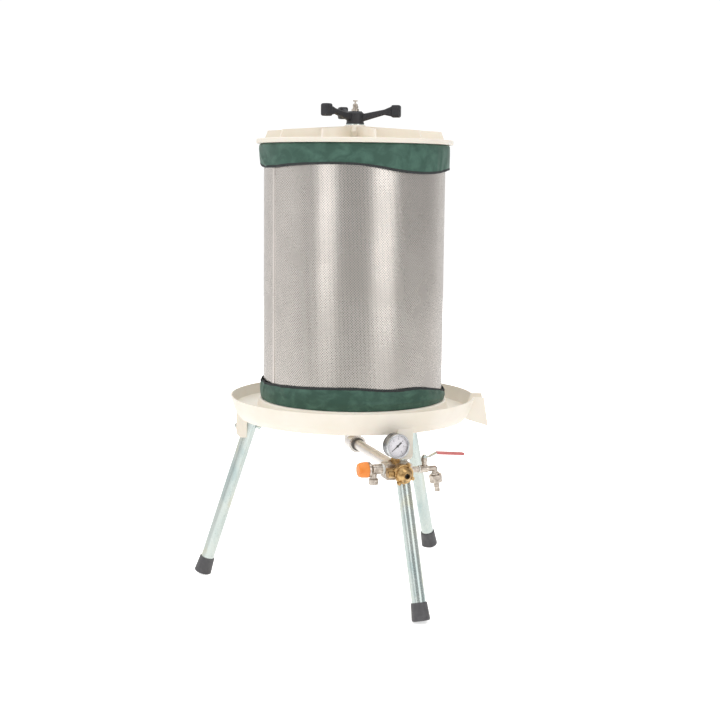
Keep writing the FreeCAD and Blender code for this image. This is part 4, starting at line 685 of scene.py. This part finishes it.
@dataclass
class PressCloth:
    """Green sleeve inside the basket, turned down over the top rim and up from under the bottom one.

    A bend is a row of points, each by its distance from the band or the wall and from the sleeve's end, in
    millimetres. A ripple is a noise, by its waves in a metre and its depth in millimetres.
    """

    columns: int = 480
    wall_radius: float = 212.9 * MM
    top_radius: float = 224.9 * MM
    bottom_radius: float = 220.4 * MM
    rim_height: float = BASKET_RIM + 0.9 * MM
    foot_height: float = BASKET_FOOT - 0.9 * MM
    band_rows: int = 22
    wall_rows: int = 16
    thickness: float = 1.1 * MM
    flat_width: float = 1.34
    flat_length: float = 0.73
    hem_height: float = 3.0 * MM
    hem_swell: float = 1.35 * MM
    hem_inset: float = 0.8 * MM
    hem_uneven: float = 0.15
    hem_lumps: float = 0.45
    hem_sides: int = 10
    hem_flat: float = 16.0 * MM
    hem_from_hem: float = 0.03
    top_band_drop: float = 5.2 * MM
    foot_band_rise: float = 2.8 * MM
    wall_drop: float = 3.5 * MM
    wall_rise: float = 3.2 * MM
    rim_bend: tuple[Span, ...] = ((0.7, 2.4), (2.2, 0.8), (4.4, 0.1), (8.4, 0.0))
    inner_rim_bend: tuple[Span, ...] = ((1.3, 0.15), (0.2, 1.2))
    inner_foot_bend: tuple[Span, ...] = ((0.2, 1.1), (1.5, 0.1))
    foot_bend: tuple[Span, ...] = ((1.9, 0.0), (0.5, 0.8))
    ripples: tuple[Span, ...] = ((26.0, 1.1), (70.0, 0.45))
    ripple_radius: float = 0.22
    ripple_tall: float = 0.05
    ripple_at_hem: float = 0.35
    top_belly: float = 0.8 * MM
    top_tuck: float = 5.0 * MM
    tuck_limits: Span = (-128.0, -70.0)
    tuck_ease: float = 22.0
    bottom_belly: float = 1.2 * MM
    bottom_roll: float = 1.5 * MM
    roll_limits: Span = (-15.0, 78.0)
    roll_ease: float = 25.0
    roll_from_hem: float = 0.72
    roll_width: float = 0.09
    top_hem: tuple[Span, ...] = (
        (-180.0, 60.0), (-150.0, 54.0), (-120.0, 54.0), (-98.0, 42.0), (-82.0, 46.5), (-65.0, 55.5),
        (-43.0, 51.5), (-22.0, 47.5), (0.0, 48.0), (12.0, 53.0), (24.0, 60.5), (36.0, 65.5), (50.0, 66.5),
        (62.0, 63.5), (75.0, 58.5), (92.0, 56.0), (120.0, 52.0), (150.0, 64.0), (180.0, 60.0))
    bottom_hem: tuple[Span, ...] = (
        (-180.0, 45.0), (-140.0, 38.0), (-112.0, 44.0), (-86.0, 46.0), (-63.0, 45.0), (-37.0, 49.0),
        (0.0, 53.0), (24.0, 47.0), (45.0, 47.0), (66.0, 35.0), (86.0, 23.0), (112.0, 32.0), (145.0, 42.0),
        (180.0, 45.0))
    top_folds: tuple[Fold, ...] = (
        Fold(-60.0, 3.0, 3.4, -26.0), Fold(-52.0, 4.0, -1.4, -20.0), Fold(-30.0, 9.0, 1.2, 12.0),
        Fold(4.0, 6.0, -1.2, -5.0), Fold(22.0, 10.0, 1.8, 8.0), Fold(47.0, 7.0, 1.6, -9.0),
        Fold(56.0, 2.0, 1.3, 2.0), Fold(61.0, 1.8, 1.3, 3.0), Fold(66.0, 2.4, -1.3, 4.0),
        Fold(82.0, 7.0, -2.4, 2.0), Fold(118.0, 8.0, 2.0, -6.0), Fold(150.0, 7.0, -1.6, 8.0),
        Fold(-168.0, 9.0, 2.2, 5.0), Fold(-132.0, 8.0, 1.8, -7.0), Fold(-105.0, 6.0, -1.4, 5.0))
    bottom_folds: tuple[Fold, ...] = (
        Fold(-80.0, 2.2, 3.4, -5.0), Fold(-69.0, 1.8, 2.8, -7.0), Fold(-52.0, 2.4, -1.6, 6.0),
        Fold(-46.0, 2.2, 1.8, 5.0), Fold(-20.0, 7.0, 1.2, 10.0), Fold(0.0, 2.4, 1.8, 4.0),
        Fold(5.0, 2.2, -1.4, 3.0), Fold(30.0, 8.0, 1.6, -8.0), Fold(52.0, 3.0, 1.8, 5.0),
        Fold(68.0, 3.5, -1.8, -4.0), Fold(84.0, 4.0, 3.2, 3.0), Fold(110.0, 6.0, 1.6, -5.0),
        Fold(140.0, 4.0, 2.0, 4.0), Fold(172.0, 5.0, -1.4, 6.0), Fold(-150.0, 4.0, 2.0, -5.0),
        Fold(-118.0, 5.0, 1.6, 5.0))

    def band_radius(self, side: Side, azimuth: float, from_hem: float) -> float:
        """Return the radius of a turned-out band.

        Args:
            side: which band.
            azimuth: degrees round the press.
            from_hem: 0 at the hem, 1 at the rim.

        Returns:
            The radius in metres.
        """
        top = side is Side.TOP
        radius = self.top_radius if top else self.bottom_radius
        folds = self.top_folds if top else self.bottom_folds
        loose = 1.0 - from_hem
        spot = around(azimuth, self.ripple_radius, from_hem * self.ripple_tall + (1.0 if top else 0.0))
        ripple = sum(noise.noise(spot * waves) * depth * MM for waves, depth in self.ripples)
        radius += ripple * math.sin(math.pi * min(from_hem + self.ripple_at_hem, 1.0))
        radius += sum(fold.rise(azimuth, from_hem) for fold in folds)
        if top:
            radius += self.top_belly * math.sin(math.pi * from_hem)
            radius -= self.top_tuck * window(azimuth, self.tuck_limits, self.tuck_ease) * loose ** 3
        else:
            radius += self.bottom_belly * math.sin(math.pi * from_hem) - self.bottom_belly * loose ** 2
            roll = window(azimuth, self.roll_limits, self.roll_ease)
            radius += self.bottom_roll * roll * math.exp(
                -((from_hem - self.roll_from_hem) / self.roll_width) ** 2)
        return radius

    def section(self, azimuth: float) -> list[tuple[float, float]]:
        """Return the sleeve's line from the top hem to the bottom hem at an azimuth.

        Args:
            azimuth: degrees round the press.

        Returns:
            Radius and height of each row, in metres.
        """
        rim, foot, wall = self.rim_height, self.foot_height, self.wall_radius
        top_hem = rim - hem_width(self.top_hem, azimuth)
        bottom_hem = foot + hem_width(self.bottom_hem, azimuth)
        top_start, foot_start = rim - self.top_band_drop, foot + self.foot_band_rise
        wall_top, wall_foot = rim - self.wall_drop, foot + self.wall_rise
        shares = [row / self.band_rows for row in range(self.band_rows + 1)]
        rows = [(self.band_radius(Side.TOP, azimuth, share), top_hem + share * (top_start - top_hem))
                for share in shares]
        lip = rows[-1][0]
        rows += [(lip - inset * MM, rim - drop * MM) for inset, drop in self.rim_bend]
        rows += [(wall + out * MM, rim - drop * MM) for out, drop in self.inner_rim_bend]
        rows += [(wall, wall_top + (wall_foot - wall_top) * row / self.wall_rows)
                 for row in range(self.wall_rows + 1)]
        rows += [(wall + out * MM, foot + rise * MM) for out, rise in self.inner_foot_bend]
        heel = self.band_radius(Side.BOTTOM, azimuth, 1.0)
        rows += [(heel - inset * MM, foot + rise * MM) for inset, rise in self.foot_bend]
        rows += [(self.band_radius(Side.BOTTOM, azimuth, 1.0 - share),
                  foot_start + share * (bottom_hem - foot_start)) for share in shares]
        return rows

    def lengths(self) -> list[float]:
        """Measure the sleeve's line at the front.

        Returns:
            The length from the top hem to each row, in metres.
        """
        line = [Vector(point) for point in self.section(0.0)]
        along = [0.0]
        for before, after in zip(line, line[1:]):
            along.append(along[-1] + (after - before).length)
        return along

    def hem(self, side: Side) -> bpy.types.Object:
        """Make the overlocked edge of a band, a soft bead that wraps the cloth's edge.

        Args:
            side: which band.

        Returns:
            The bead.
        """
        line = self.top_hem if side is Side.TOP else self.bottom_hem
        fold_height = self.rim_height if side is Side.TOP else self.foot_height
        inward = 1.0 if side is Side.TOP else -1.0
        shape = bmesh.new()
        flat = shape.loops.layers.uv.new("flat")
        bmesh.ops.create_grid(shape, x_segments=self.columns, y_segments=self.hem_sides, size=0.5)
        for face in shape.faces:
            for loop in face.loops:
                loop[flat].uv = ((loop.vert.co.x + 0.5) * self.flat_width,
                                 (loop.vert.co.y + 0.5) * self.hem_flat)
        for vert in shape.verts:
            azimuth = vert.co.x * 360.0
            turn = vert.co.y * 2.0 * math.pi
            band = self.band_radius(side, azimuth, self.hem_from_hem)
            middle = fold_height - inward * (hem_width(line, azimuth) - self.hem_height + self.hem_inset)
            spot = Vector((azimuth * self.hem_lumps, 3.0 if inward > 0 else 7.0, 0.0))
            swell = 1.0 + self.hem_uneven * noise.noise(spot)
            vert.co = around(azimuth, band + self.hem_swell * swell * math.cos(turn),
                             middle + inward * self.hem_height * swell * math.sin(turn))
        sew(shape)
        return make_piece(f"press_cloth_hem_{side.value}", shape, Surfaces.HEM.value, "basket")

    def build(self) -> None:
        along = self.lengths()
        rows = len(along) - 1
        shape = bmesh.new()
        flat = shape.loops.layers.uv.new("flat")
        bmesh.ops.create_grid(shape, x_segments=self.columns, y_segments=rows, size=0.5)
        for face in shape.faces:
            for loop in face.loops:
                row = round((0.5 - loop.vert.co.y) * rows)
                loop[flat].uv = ((loop.vert.co.x + 0.5) * self.flat_width,
                                 self.flat_length * (1.0 - along[row] / along[-1]))
        sections = {}
        for vert in shape.verts:
            column = round((vert.co.x + 0.5) * self.columns)
            row = round((0.5 - vert.co.y) * rows)
            azimuth = column / self.columns * 360.0 - 180.0
            if column not in sections:
                sections[column] = self.section(azimuth)
            radius, height = sections[column][row]
            vert.co = around(azimuth, radius, height)
        sew(shape)
        cloth = make_piece("press_cloth_sleeve", shape, Surfaces.CLOTH.value, "basket")
        thicken(cloth, "cloth_thickness", self.thickness)
        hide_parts("press_cloth")
        hems = [self.hem(side) for side in Side]
        log.info("press cloth: %d rows, 2 hems", rows)


# Basket

@dataclass
class PerforatedBasket:
    """Rolled sheet with staggered holes and a proud strip over its lapped seam.

    The holes of the real sheet lie about 3.6 mm apart, which is finer than the render can show and than
    the mesh can hold, so they are drawn 6 mm apart in rows as close as the real ones.
    """

    radius: float = 215.0 * MM
    sheet: float = 1.2 * MM
    low: float = BASKET_FOOT
    high: float = BASKET_RIM
    holes_low: float = BASKET_FOOT + 15.0 * MM
    holes_high: float = BASKET_RIM - 30.0 * MM
    panels: int = 8
    holes_across: int = 28
    row_step: float = 3.1 * MM
    hole: float = 2.2 * MM
    hole_join: float = 0.02 * MM
    first_hole: float = 0.25
    seam_azimuth: float = -59.0
    seam_width: float = 9.0 * MM
    seam_end: float = 9.0 * MM
    seam_sheet: float = 1.0 * MM
    seam_edge: float = 2.0 * MM
    seam_sink: float = 0.7 * MM
    seam_round: float = 0.3 * MM
    seam_out: float = 0.35 * MM
    lap_below: float = 4.0 * MM
    lap_above: float = 6.0 * MM
    lap_beside: float = 4.0 * MM
    lap_thinner: float = 0.9
    band_overlap: float = 2.0 * MM
    band_steps: int = 240

    def pitch(self) -> float:
        """Spacing of the holes round the basket."""
        middle = self.radius - self.sheet / 2.0
        return (2.0 * math.pi * middle - self.seam_width) / (self.panels * self.holes_across)

    def row_pairs(self) -> int:
        """Number of pairs of rows, one of them set off by half a hole spacing."""
        return round((self.holes_high - self.holes_low) / (2.0 * self.row_step))

    def flat_panel(self) -> bmesh.types.BMesh:
        """Punch one flat panel: a six-sided cell with a hole, repeated in staggered rows.

        Returns:
            The panel in the XZ plane, its first hole near the origin.
        """
        pitch = self.pitch()
        step = (self.holes_high - self.holes_low) / (2.0 * self.row_pairs())
        upright = Matrix.Rotation(math.radians(90.0), 4, "X") @ Matrix.Rotation(math.radians(30.0), 4, "Z")
        squeeze = Matrix.Diagonal((1.0, 1.0, step / (pitch * math.sqrt(3.0) / 2.0), 1.0))
        shape = bmesh.new()
        bmesh.ops.create_circle(shape, segments=6, radius=pitch / math.sqrt(3.0), matrix=squeeze @ upright)
        bmesh.ops.create_circle(shape, segments=6, radius=self.hole / 2.0, matrix=upright)
        bmesh.ops.bridge_loops(shape, edges=list(shape.edges))
        self.repeat(shape, self.holes_across, Vector((pitch, 0.0, 0.0)))
        pair = bmesh.ops.duplicate(shape, geom=list(shape.verts) + list(shape.edges) + list(shape.faces))
        moved = [part for part in pair["geom"] if isinstance(part, bmesh.types.BMVert)]
        bmesh.ops.translate(shape, verts=moved, vec=(pitch / 2.0, 0.0, step))
        self.repeat(shape, self.row_pairs(), Vector((0.0, 0.0, 2.0 * step)))
        bmesh.ops.remove_doubles(shape, verts=shape.verts, dist=self.hole_join)
        return shape

    @staticmethod
    def repeat(shape: bmesh.types.BMesh, count: int, step: Vector) -> None:
        """Repeat all that a shape holds in a line.

        Args:
            shape: the shape, which grows.
            count: how many there are in the end.
            step: the way from one to the next.
        """
        first = list(shape.verts) + list(shape.edges) + list(shape.faces)
        for index in range(1, count):
            made = bmesh.ops.duplicate(shape, geom=first)["geom"]
            verts = [part for part in made if isinstance(part, bmesh.types.BMVert)]
            bmesh.ops.translate(shape, verts=verts, vec=step * index)

    def panel(self, index: int, flat: bpy.types.Mesh) -> bpy.types.Object:
        """Roll one panel of the sheet to the basket's radius.

        Args:
            index: which panel, counted from the seam.
            flat: the flat panel.

        Returns:
            The rolled panel.
        """
        middle = self.radius - self.sheet / 2.0
        start = self.seam_width / 2.0 + self.pitch() * (index * self.holes_across + self.first_hole)
        shape = bmesh.new()
        shape.from_mesh(flat)
        for vert in shape.verts:
            azimuth = self.seam_azimuth + math.degrees((start + vert.co.x) / middle)
            vert.co = around(azimuth, middle, self.holes_low + vert.co.z)
        bmesh.ops.recalc_face_normals(shape, faces=shape.faces)
        piece = make_piece(f"basket_panel_{index + 1}", shape, Surfaces.STAINLESS.value,
                           "basket", smooth=False)
        thicken(piece, "sheet_thickness", self.sheet)
        return piece

    def plain_band(self, name: str, low: float, high: float) -> bpy.types.Object:
        """Make an unpunched band at an end of the sheet.

        Args:
            name: the piece's name.
            low: where it starts, in metres.
            high: where it ends, in metres.

        Returns:
            The band.
        """
        inside = self.radius - self.sheet
        shape = bmesh.new()
        line = [shape.verts.new(PRESS_AXIS + Vector(at)) for at in (
            (inside, 0.0, low), (self.radius, 0.0, low), (self.radius, 0.0, high), (inside, 0.0, high))]
        edges = [shape.edges.new((line[i], line[(i + 1) % 4])) for i in range(4)]
        bmesh.ops.spin(shape, geom=line + edges, cent=PRESS_AXIS, axis=(0.0, 0.0, 1.0),
                       angle=2.0 * math.pi, steps=self.band_steps, use_merge=True)
        sew(shape)
        return make_piece(name, shape, Surfaces.STAINLESS.value, "basket", smooth=False)

    def seam(self) -> bpy.types.Object:
        """Make the strip over the lapped seam, with its rolled edges and the line down its middle.

        Returns:
            The strip.
        """
        low, high = self.low + self.seam_end, self.high - self.seam_end
        shape = bmesh.new()
        bmesh.ops.create_cube(shape, size=1.0, matrix=Matrix.Diagonal(
            (self.seam_width, self.seam_sheet, high - low, 1.0)))
        front = [face for face in shape.faces if face.normal.y < -0.5]
        bmesh.ops.inset_region(shape, faces=front, thickness=self.seam_edge)
        bmesh.ops.translate(shape, verts=list({v for face in front for v in face.verts}),
                            vec=(0.0, self.seam_sink, 0.0))
        rims = [edge for edge in shape.edges if abs((edge.verts[0].co - edge.verts[1].co).z) > 0.1]
        bmesh.ops.bevel(shape, geom=rims, offset=self.seam_round, offset_type="OFFSET", segments=2,
                        profile=0.5, affect="EDGES", material=-1)
        middle = around(self.seam_azimuth, self.radius + self.seam_out, (low + high) / 2.0)
        place = Matrix.Translation(middle) @ Matrix.Rotation(math.radians(self.seam_azimuth), 4, "Z")
        bmesh.ops.transform(shape, matrix=place, verts=shape.verts)
        bmesh.ops.recalc_face_normals(shape, faces=shape.faces)
        return make_piece("basket_seam_strip", shape, Surfaces.STAINLESS.value,
                          "basket", smooth=False)

    def lap(self) -> bpy.types.Object:
        """Make the plain edge of the sheet under the seam strip.

        Returns:
            The edge.
        """
        low, high = self.holes_low - self.lap_below, self.holes_high + self.lap_above
        shape = bmesh.new()
        bmesh.ops.create_grid(shape, x_segments=6, y_segments=2, size=0.5)
        middle = self.radius - self.sheet / 2.0
        for vert in shape.verts:
            turn = math.degrees(vert.co.x * (self.seam_width + self.lap_beside) / middle)
            vert.co = around(self.seam_azimuth + turn, middle, low + (vert.co.y + 0.5) * (high - low))
        bmesh.ops.recalc_face_normals(shape, faces=shape.faces)
        piece = make_piece("basket_seam_lap", shape, Surfaces.STAINLESS.value, "basket")
        thicken(piece, "sheet_thickness", self.sheet * self.lap_thinner)
        return piece

    def build(self) -> None:
        """Make the panels, the plain bands and the seam."""
        shape = self.flat_panel()
        flat = bpy.data.meshes.new("flat_panel")
        shape.to_mesh(flat)
        shape.free()
        pieces = [self.panel(index, flat) for index in range(self.panels)]
        bpy.data.meshes.remove(flat)
        pieces.append(self.plain_band("basket_band_bottom", self.low, self.holes_low))
        pieces.append(self.plain_band(
            "basket_band_top", self.holes_high - self.band_overlap, self.high))
        pieces.append(self.seam())
        pieces.append(self.lap())
        for piece in pieces:
            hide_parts("basket")
        log.info("basket: %d rows of holes %.1f mm apart", 2 * self.row_pairs(), self.pitch() / MM)


# Pressure gauge

@dataclass
class GaugePrint:
    """Marks and numbers printed on the gauge's dial, on the plane of the dial's face."""

    start_deg: float = 218.0
    sweep_deg: float = 270.0
    top_value: int = 6
    small_steps: int = 5
    ring_radius: float = 24.0 * MM
    long_mark: float = 4.0 * MM
    short_mark: float = 2.2 * MM
    mark_width: float = 0.45 * MM
    long_mark_wider: float = 1.5
    ink: float = 0.06 * MM
    number_radius: float = 16.2 * MM
    number_size: float = 5.6 * MM
    middle: Vector = field(init=False)
    right: Vector = field(init=False)
    out: Vector = field(init=False)

    def __post_init__(self) -> None:
        """Find the dial's face from the CAD dial and the needle's axis."""
        joint = next(j for j in frame["joints"] if j["name"] == "needle_turn")
        self.out = -Vector(joint["axis"]).normalized()
        self.right = Vector((-self.out.y, self.out.x, 0.0))
        origin = Vector(joint["pos_m"])
        face = max((vert.co - origin).dot(self.out) for vert in frame["nodes"]["gauge_dial"].data.vertices)
        self.middle = origin + self.out * face

    def frame_matrix(self) -> Matrix:
        """Find where the dial's own plane, X right and Y up, lies.

        Returns:
            The matrix from that plane to the row frame.
        """
        up = Vector((0.0, 0.0, 1.0))
        turned = Matrix((self.right, up, self.out)).transposed().to_4x4()
        return Matrix.Translation(self.middle) @ turned

    def marks(self) -> bpy.types.Object:
        """Print the ring of long and short marks.

        Returns:
            The marks, as one piece.
        """
        shape = bmesh.new()
        count = self.top_value * self.small_steps
        for index in range(count + 1):
            long = index % self.small_steps == 0
            length = self.long_mark if long else self.short_mark
            width = self.mark_width * (self.long_mark_wider if long else 1.0)
            turn = Matrix.Rotation(math.radians(self.start_deg - self.sweep_deg * index / count), 4, "Z")
            put = turn @ Matrix.Translation((self.ring_radius - length / 2.0, 0.0, self.ink / 2.0))
            size = Matrix.Diagonal((length, width, self.ink, 1.0))
            bmesh.ops.create_cube(shape, size=1.0, matrix=put @ size)
        bmesh.ops.transform(shape, matrix=self.frame_matrix(), verts=shape.verts)
        return make_piece("gauge_marks", shape, Surfaces.INK.value, "stand", smooth=False)

    def number(self, value: int) -> bpy.types.Object:
        """Print one number, upright at its place on the dial.

        Args:
            value: the number.

        Returns:
            The number's piece.
        """
        turn = math.radians(self.start_deg - self.sweep_deg * value / self.top_value)
        text = bpy.data.curves.new(f"number_{value}", "FONT")
        text.body = str(value)
        text.size = self.number_size
        text.align_x = "CENTER"
        text.align_y = "CENTER"
        text.extrude = self.ink / 2.0
        text.resolution_u = 3
        holder = link(f"number_{value}_text", text)
        bpy.context.view_layer.update()
        mesh = bpy.data.meshes.new_from_object(holder)
        bpy.data.objects.remove(holder)
        shape = bmesh.new()
        shape.from_mesh(mesh)
        bpy.data.meshes.remove(mesh)
        across, up = self.number_radius * math.cos(turn), self.number_radius * math.sin(turn)
        place = self.frame_matrix() @ Matrix.Translation((across, up, self.ink / 2.0))
        bmesh.ops.transform(shape, matrix=place, verts=shape.verts)
        return make_piece(f"gauge_number_{value}", shape, Surfaces.INK.value,
                          "stand", smooth=False)

    def build(self) -> None:
        """Print the marks and the numbers."""
        self.marks()
        for value in range(self.top_value + 1):
            self.number(value)
        log.info("gauge: marks and %d numbers", self.top_value + 1)


# Studio

@dataclass(frozen=True)
class Softbox:
    """Soft rectangular light that hangs round the press.

    Attributes:
        name: the light's name.
        azimuth: degrees from the front towards the right.
        distance: from the press axis, in metres.
        height: above the floor, in metres.
        wide: width of its face, in metres.
        tall: height of its face, in metres.
        power: its power in watts.
        aim: height that it points at, in metres.
    """

    name: str
    azimuth: float
    distance: float
    height: float
    wide: float
    tall: float
    power: float
    aim: float

    def hang(self) -> None:
        """Make the light and point it at the press."""
        data = bpy.data.lights.new(self.name, "AREA")
        data.shape = "RECTANGLE"
        data.size = self.wide
        data.size_y = self.tall
        data.energy = self.power
        holder = link(self.name, data)
        holder.location = around(self.azimuth, self.distance, self.height)
        look = PRESS_AXIS + Vector((0.0, 0.0, self.aim)) - holder.location
        holder.rotation_euler = look.to_track_quat("-Z", "Y").to_euler()


@dataclass(frozen=True)
class StudioPaper(Finish):
    """Matt white backdrop paper with painted light: it glows though it is no lamp, and in front of the press
    it is painted greyer as painted shade.

    The camera sees it glow behind the press and far from it, so that it goes over into the room without a
    line; to all other rays it glows near the press, a painted glow that lights the press in place of light
    bounced off the floor. Distances are in metres from the origin.
    """

    colour: str = "#FDFDFC"
    fibre: str = "#FBFBFA"
    dim: str = "#D8D8D6"
    fibre_mm: float = 300.0

    def surface(self, tree: bpy.types.NodeTree) -> dict:
        """Add the patterns that the finish shows.

        Args:
            tree: the material's tree, which takes the nodes.

        Returns:
            The shader's inputs, by socket name.
        """
        place = add_node(tree, "ShaderNodeTexCoord").outputs["Object"]
        fibre = add_node(tree, "ShaderNodeTexNoise", {}, {
            "Vector": place, "Scale": per_metre(self.fibre_mm), "Detail": 3.0}).outputs[0]
        colour = add_node(tree, "ShaderNodeMix", {"data_type": "RGBA"}, {
            0: fibre, 6: linear(self.colour), 7: linear(self.fibre)}).outputs[2]
        depth = add_node(tree, "ShaderNodeSeparateXYZ", {}, {0: place}).outputs["Y"]
        # painted shade: the paper turns greyer in front of the press, and the lower part of the basket
        # reflects that grey
        front = add_node(tree, "ShaderNodeMapRange", {"interpolation_type": "SMOOTHSTEP"}, {
            "Value": depth, "From Min": -0.8, "From Max": -2.4}).outputs[0]
        paper = add_node(tree, "ShaderNodeMix", {"data_type": "RGBA"}, {
            0: front, 6: colour, 7: linear(self.dim)}).outputs[2]
        behind = add_node(tree, "ShaderNodeMapRange", {"interpolation_type": "SMOOTHSTEP"}, {
            "Value": depth, "From Min": -2.2, "From Max": 0.6, "To Min": 0.0, "To Max": 0.8}).outputs[0]
        reach = add_node(tree, "ShaderNodeVectorMath", {"operation": "LENGTH"}, {0: place}).outputs["Value"]
        # painted glow: near the press the paper emits light onto it, in place of light bounced off the floor
        painted_table_glow = add_node(tree, "ShaderNodeMapRange", {"interpolation_type": "SMOOTHSTEP"}, {
            "Value": reach, "From Min": 0.7, "From Max": 2.2, "To Min": 0.24, "To Max": 0.05}).outputs[0]
        far = add_node(tree, "ShaderNodeMapRange", {"interpolation_type": "SMOOTHSTEP"}, {
            "Value": reach, "From Min": 1.5, "From Max": 2.6, "To Max": 0.85}).outputs[0]
        backdrop = add_node(tree, "ShaderNodeMath", {"operation": "MAXIMUM"}, {0: behind, 1: far}).outputs[0]
        seen = add_node(tree, "ShaderNodeLightPath").outputs["Is Camera Ray"]
        glow = add_node(tree, "ShaderNodeMix", {}, {0: seen, 2: painted_table_glow, 3: backdrop}).outputs[0]
        return {"Base Color": paper, "Roughness": 0.3, "IOR": 1.3,
                "Emission Color": (1.0, 1.0, 1.0, 1.0), "Emission Strength": glow}


@dataclass
class Studio:
    """Camera at the photograph's angle, a pale floor, soft lights and a pale room.

    The room is brightest towards bright_way and dimmest away from it; matt surfaces get more of its light
    from above, and the camera sees it plain white.
    """

    lens_mm: float = 67.65
    sensor_mm: float = 36.0
    sees_to: float = 60.0
    camera_side: float = 0.0174
    camera_back: float = -3.244
    camera_height: float = 0.9777
    tilt_deg: float = 82.38
    roll_deg: float = 0.60
    floor_size: float = 16.0
    bright_way: tuple[float, float, float] = (-0.55, 0.83, 0.0)
    seen_white: float = 1.05
    softboxes: tuple[Softbox, ...] = (
        Softbox("softbox_left", -33.0, 3.0, 1.35, 1.15, 2.1, 8.2, 1.1),
        Softbox("softbox_right", 37.0, 3.0, 1.35, 1.45, 2.1, 11.2, 1.1),
        Softbox("softbox_top", 20.0, 0.8, 3.2, 2.0, 2.0, 15.0, 0.5))

    def camera(self) -> None:
        """Set the camera where the photograph was taken from."""
        data = bpy.data.cameras.new("camera")
        data.lens = self.lens_mm
        data.sensor_width = self.sensor_mm
        data.clip_end = self.sees_to
        holder = link("camera", data)
        holder.location = PRESS_AXIS + Vector((self.camera_side, self.camera_back, self.camera_height))
        turned = Matrix.Rotation(math.radians(self.tilt_deg), 3, "X") @ Matrix.Rotation(
            math.radians(self.roll_deg), 3, "Z")
        holder.rotation_euler = turned.to_euler()
        bpy.context.scene.camera = holder

    def floor(self) -> None:
        """Lay the pale floor."""
        shape = bmesh.new()
        bmesh.ops.create_grid(shape, x_segments=2, y_segments=2, size=self.floor_size / 2.0)
        mesh = bpy.data.meshes.new("studio_floor")
        shape.to_mesh(mesh)
        shape.free()
        ground = link("studio_floor", mesh)
        mesh.materials.append(StudioPaper("paper_matt_white").material())

    def room(self) -> None:
        """Light the room softly: bright behind the press, dim behind the camera, white where it is seen."""
        world = bpy.data.worlds.new("pale_room")
        bpy.context.scene.world = world
        world.use_nodes = True
        tree = world.node_tree
        tree.nodes.clear()
        way = add_node(tree, "ShaderNodeTexCoord").outputs["Generated"]
        facing = add_node(tree, "ShaderNodeVectorMath", {"operation": "DOT_PRODUCT"}, {
            0: way, 1: self.bright_way}).outputs["Value"]
        even = add_node(tree, "ShaderNodeMapRange", {"interpolation_type": "SMOOTHSTEP"}, {
            "Value": facing, "From Min": -0.35, "From Max": 0.45,
            "To Min": 0.52, "To Max": 0.93}).outputs[0]
        ray = add_node(tree, "ShaderNodeLightPath").outputs
        above = add_node(tree, "ShaderNodeSeparateXYZ", {}, {0: way}).outputs["Z"]
        overhead = add_node(tree, "ShaderNodeMapRange", {}, {
            "Value": above, "From Min": 0.0, "From Max": 0.9, "To Min": 1.0, "To Max": 1.75}).outputs[0]
        fill = add_node(tree, "ShaderNodeMix", {}, {0: ray["Is Diffuse Ray"], 2: 1.0, 3: overhead}).outputs[0]
        filled = add_node(tree, "ShaderNodeMath", {"operation": "MULTIPLY"}, {0: even, 1: fill}).outputs[0]
        strength = add_node(tree, "ShaderNodeMix", {}, {
            0: ray["Is Camera Ray"], 2: filled, 3: self.seen_white}).outputs[0]
        light = add_node(tree, "ShaderNodeBackground", {}, {
            "Color": (1.0, 1.0, 1.0, 1.0), "Strength": strength})
        add_node(tree, "ShaderNodeOutputWorld", {}, {"Surface": light.outputs[0]})

    def build(self) -> None:
        """Set up the camera, the floor, the room and the lights."""
        bpy.context.scene.view_settings.view_transform = "Standard"
        self.camera()
        self.floor()
        self.room()
        for softbox in self.softboxes:
            softbox.hang()
        log.info("studio: camera, floor, room and %d softboxes", len(self.softboxes))


def main() -> None:
    """Build the studio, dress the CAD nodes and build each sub-assembly."""
    logging.basicConfig(level=logging.INFO, format="%(message)s")
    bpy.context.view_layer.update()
    Studio().build()
    dress_cad_nodes()
    PressCloth().build()
    PerforatedBasket().build()
    GaugePrint().build()


if __name__ == "__main__":
    main()
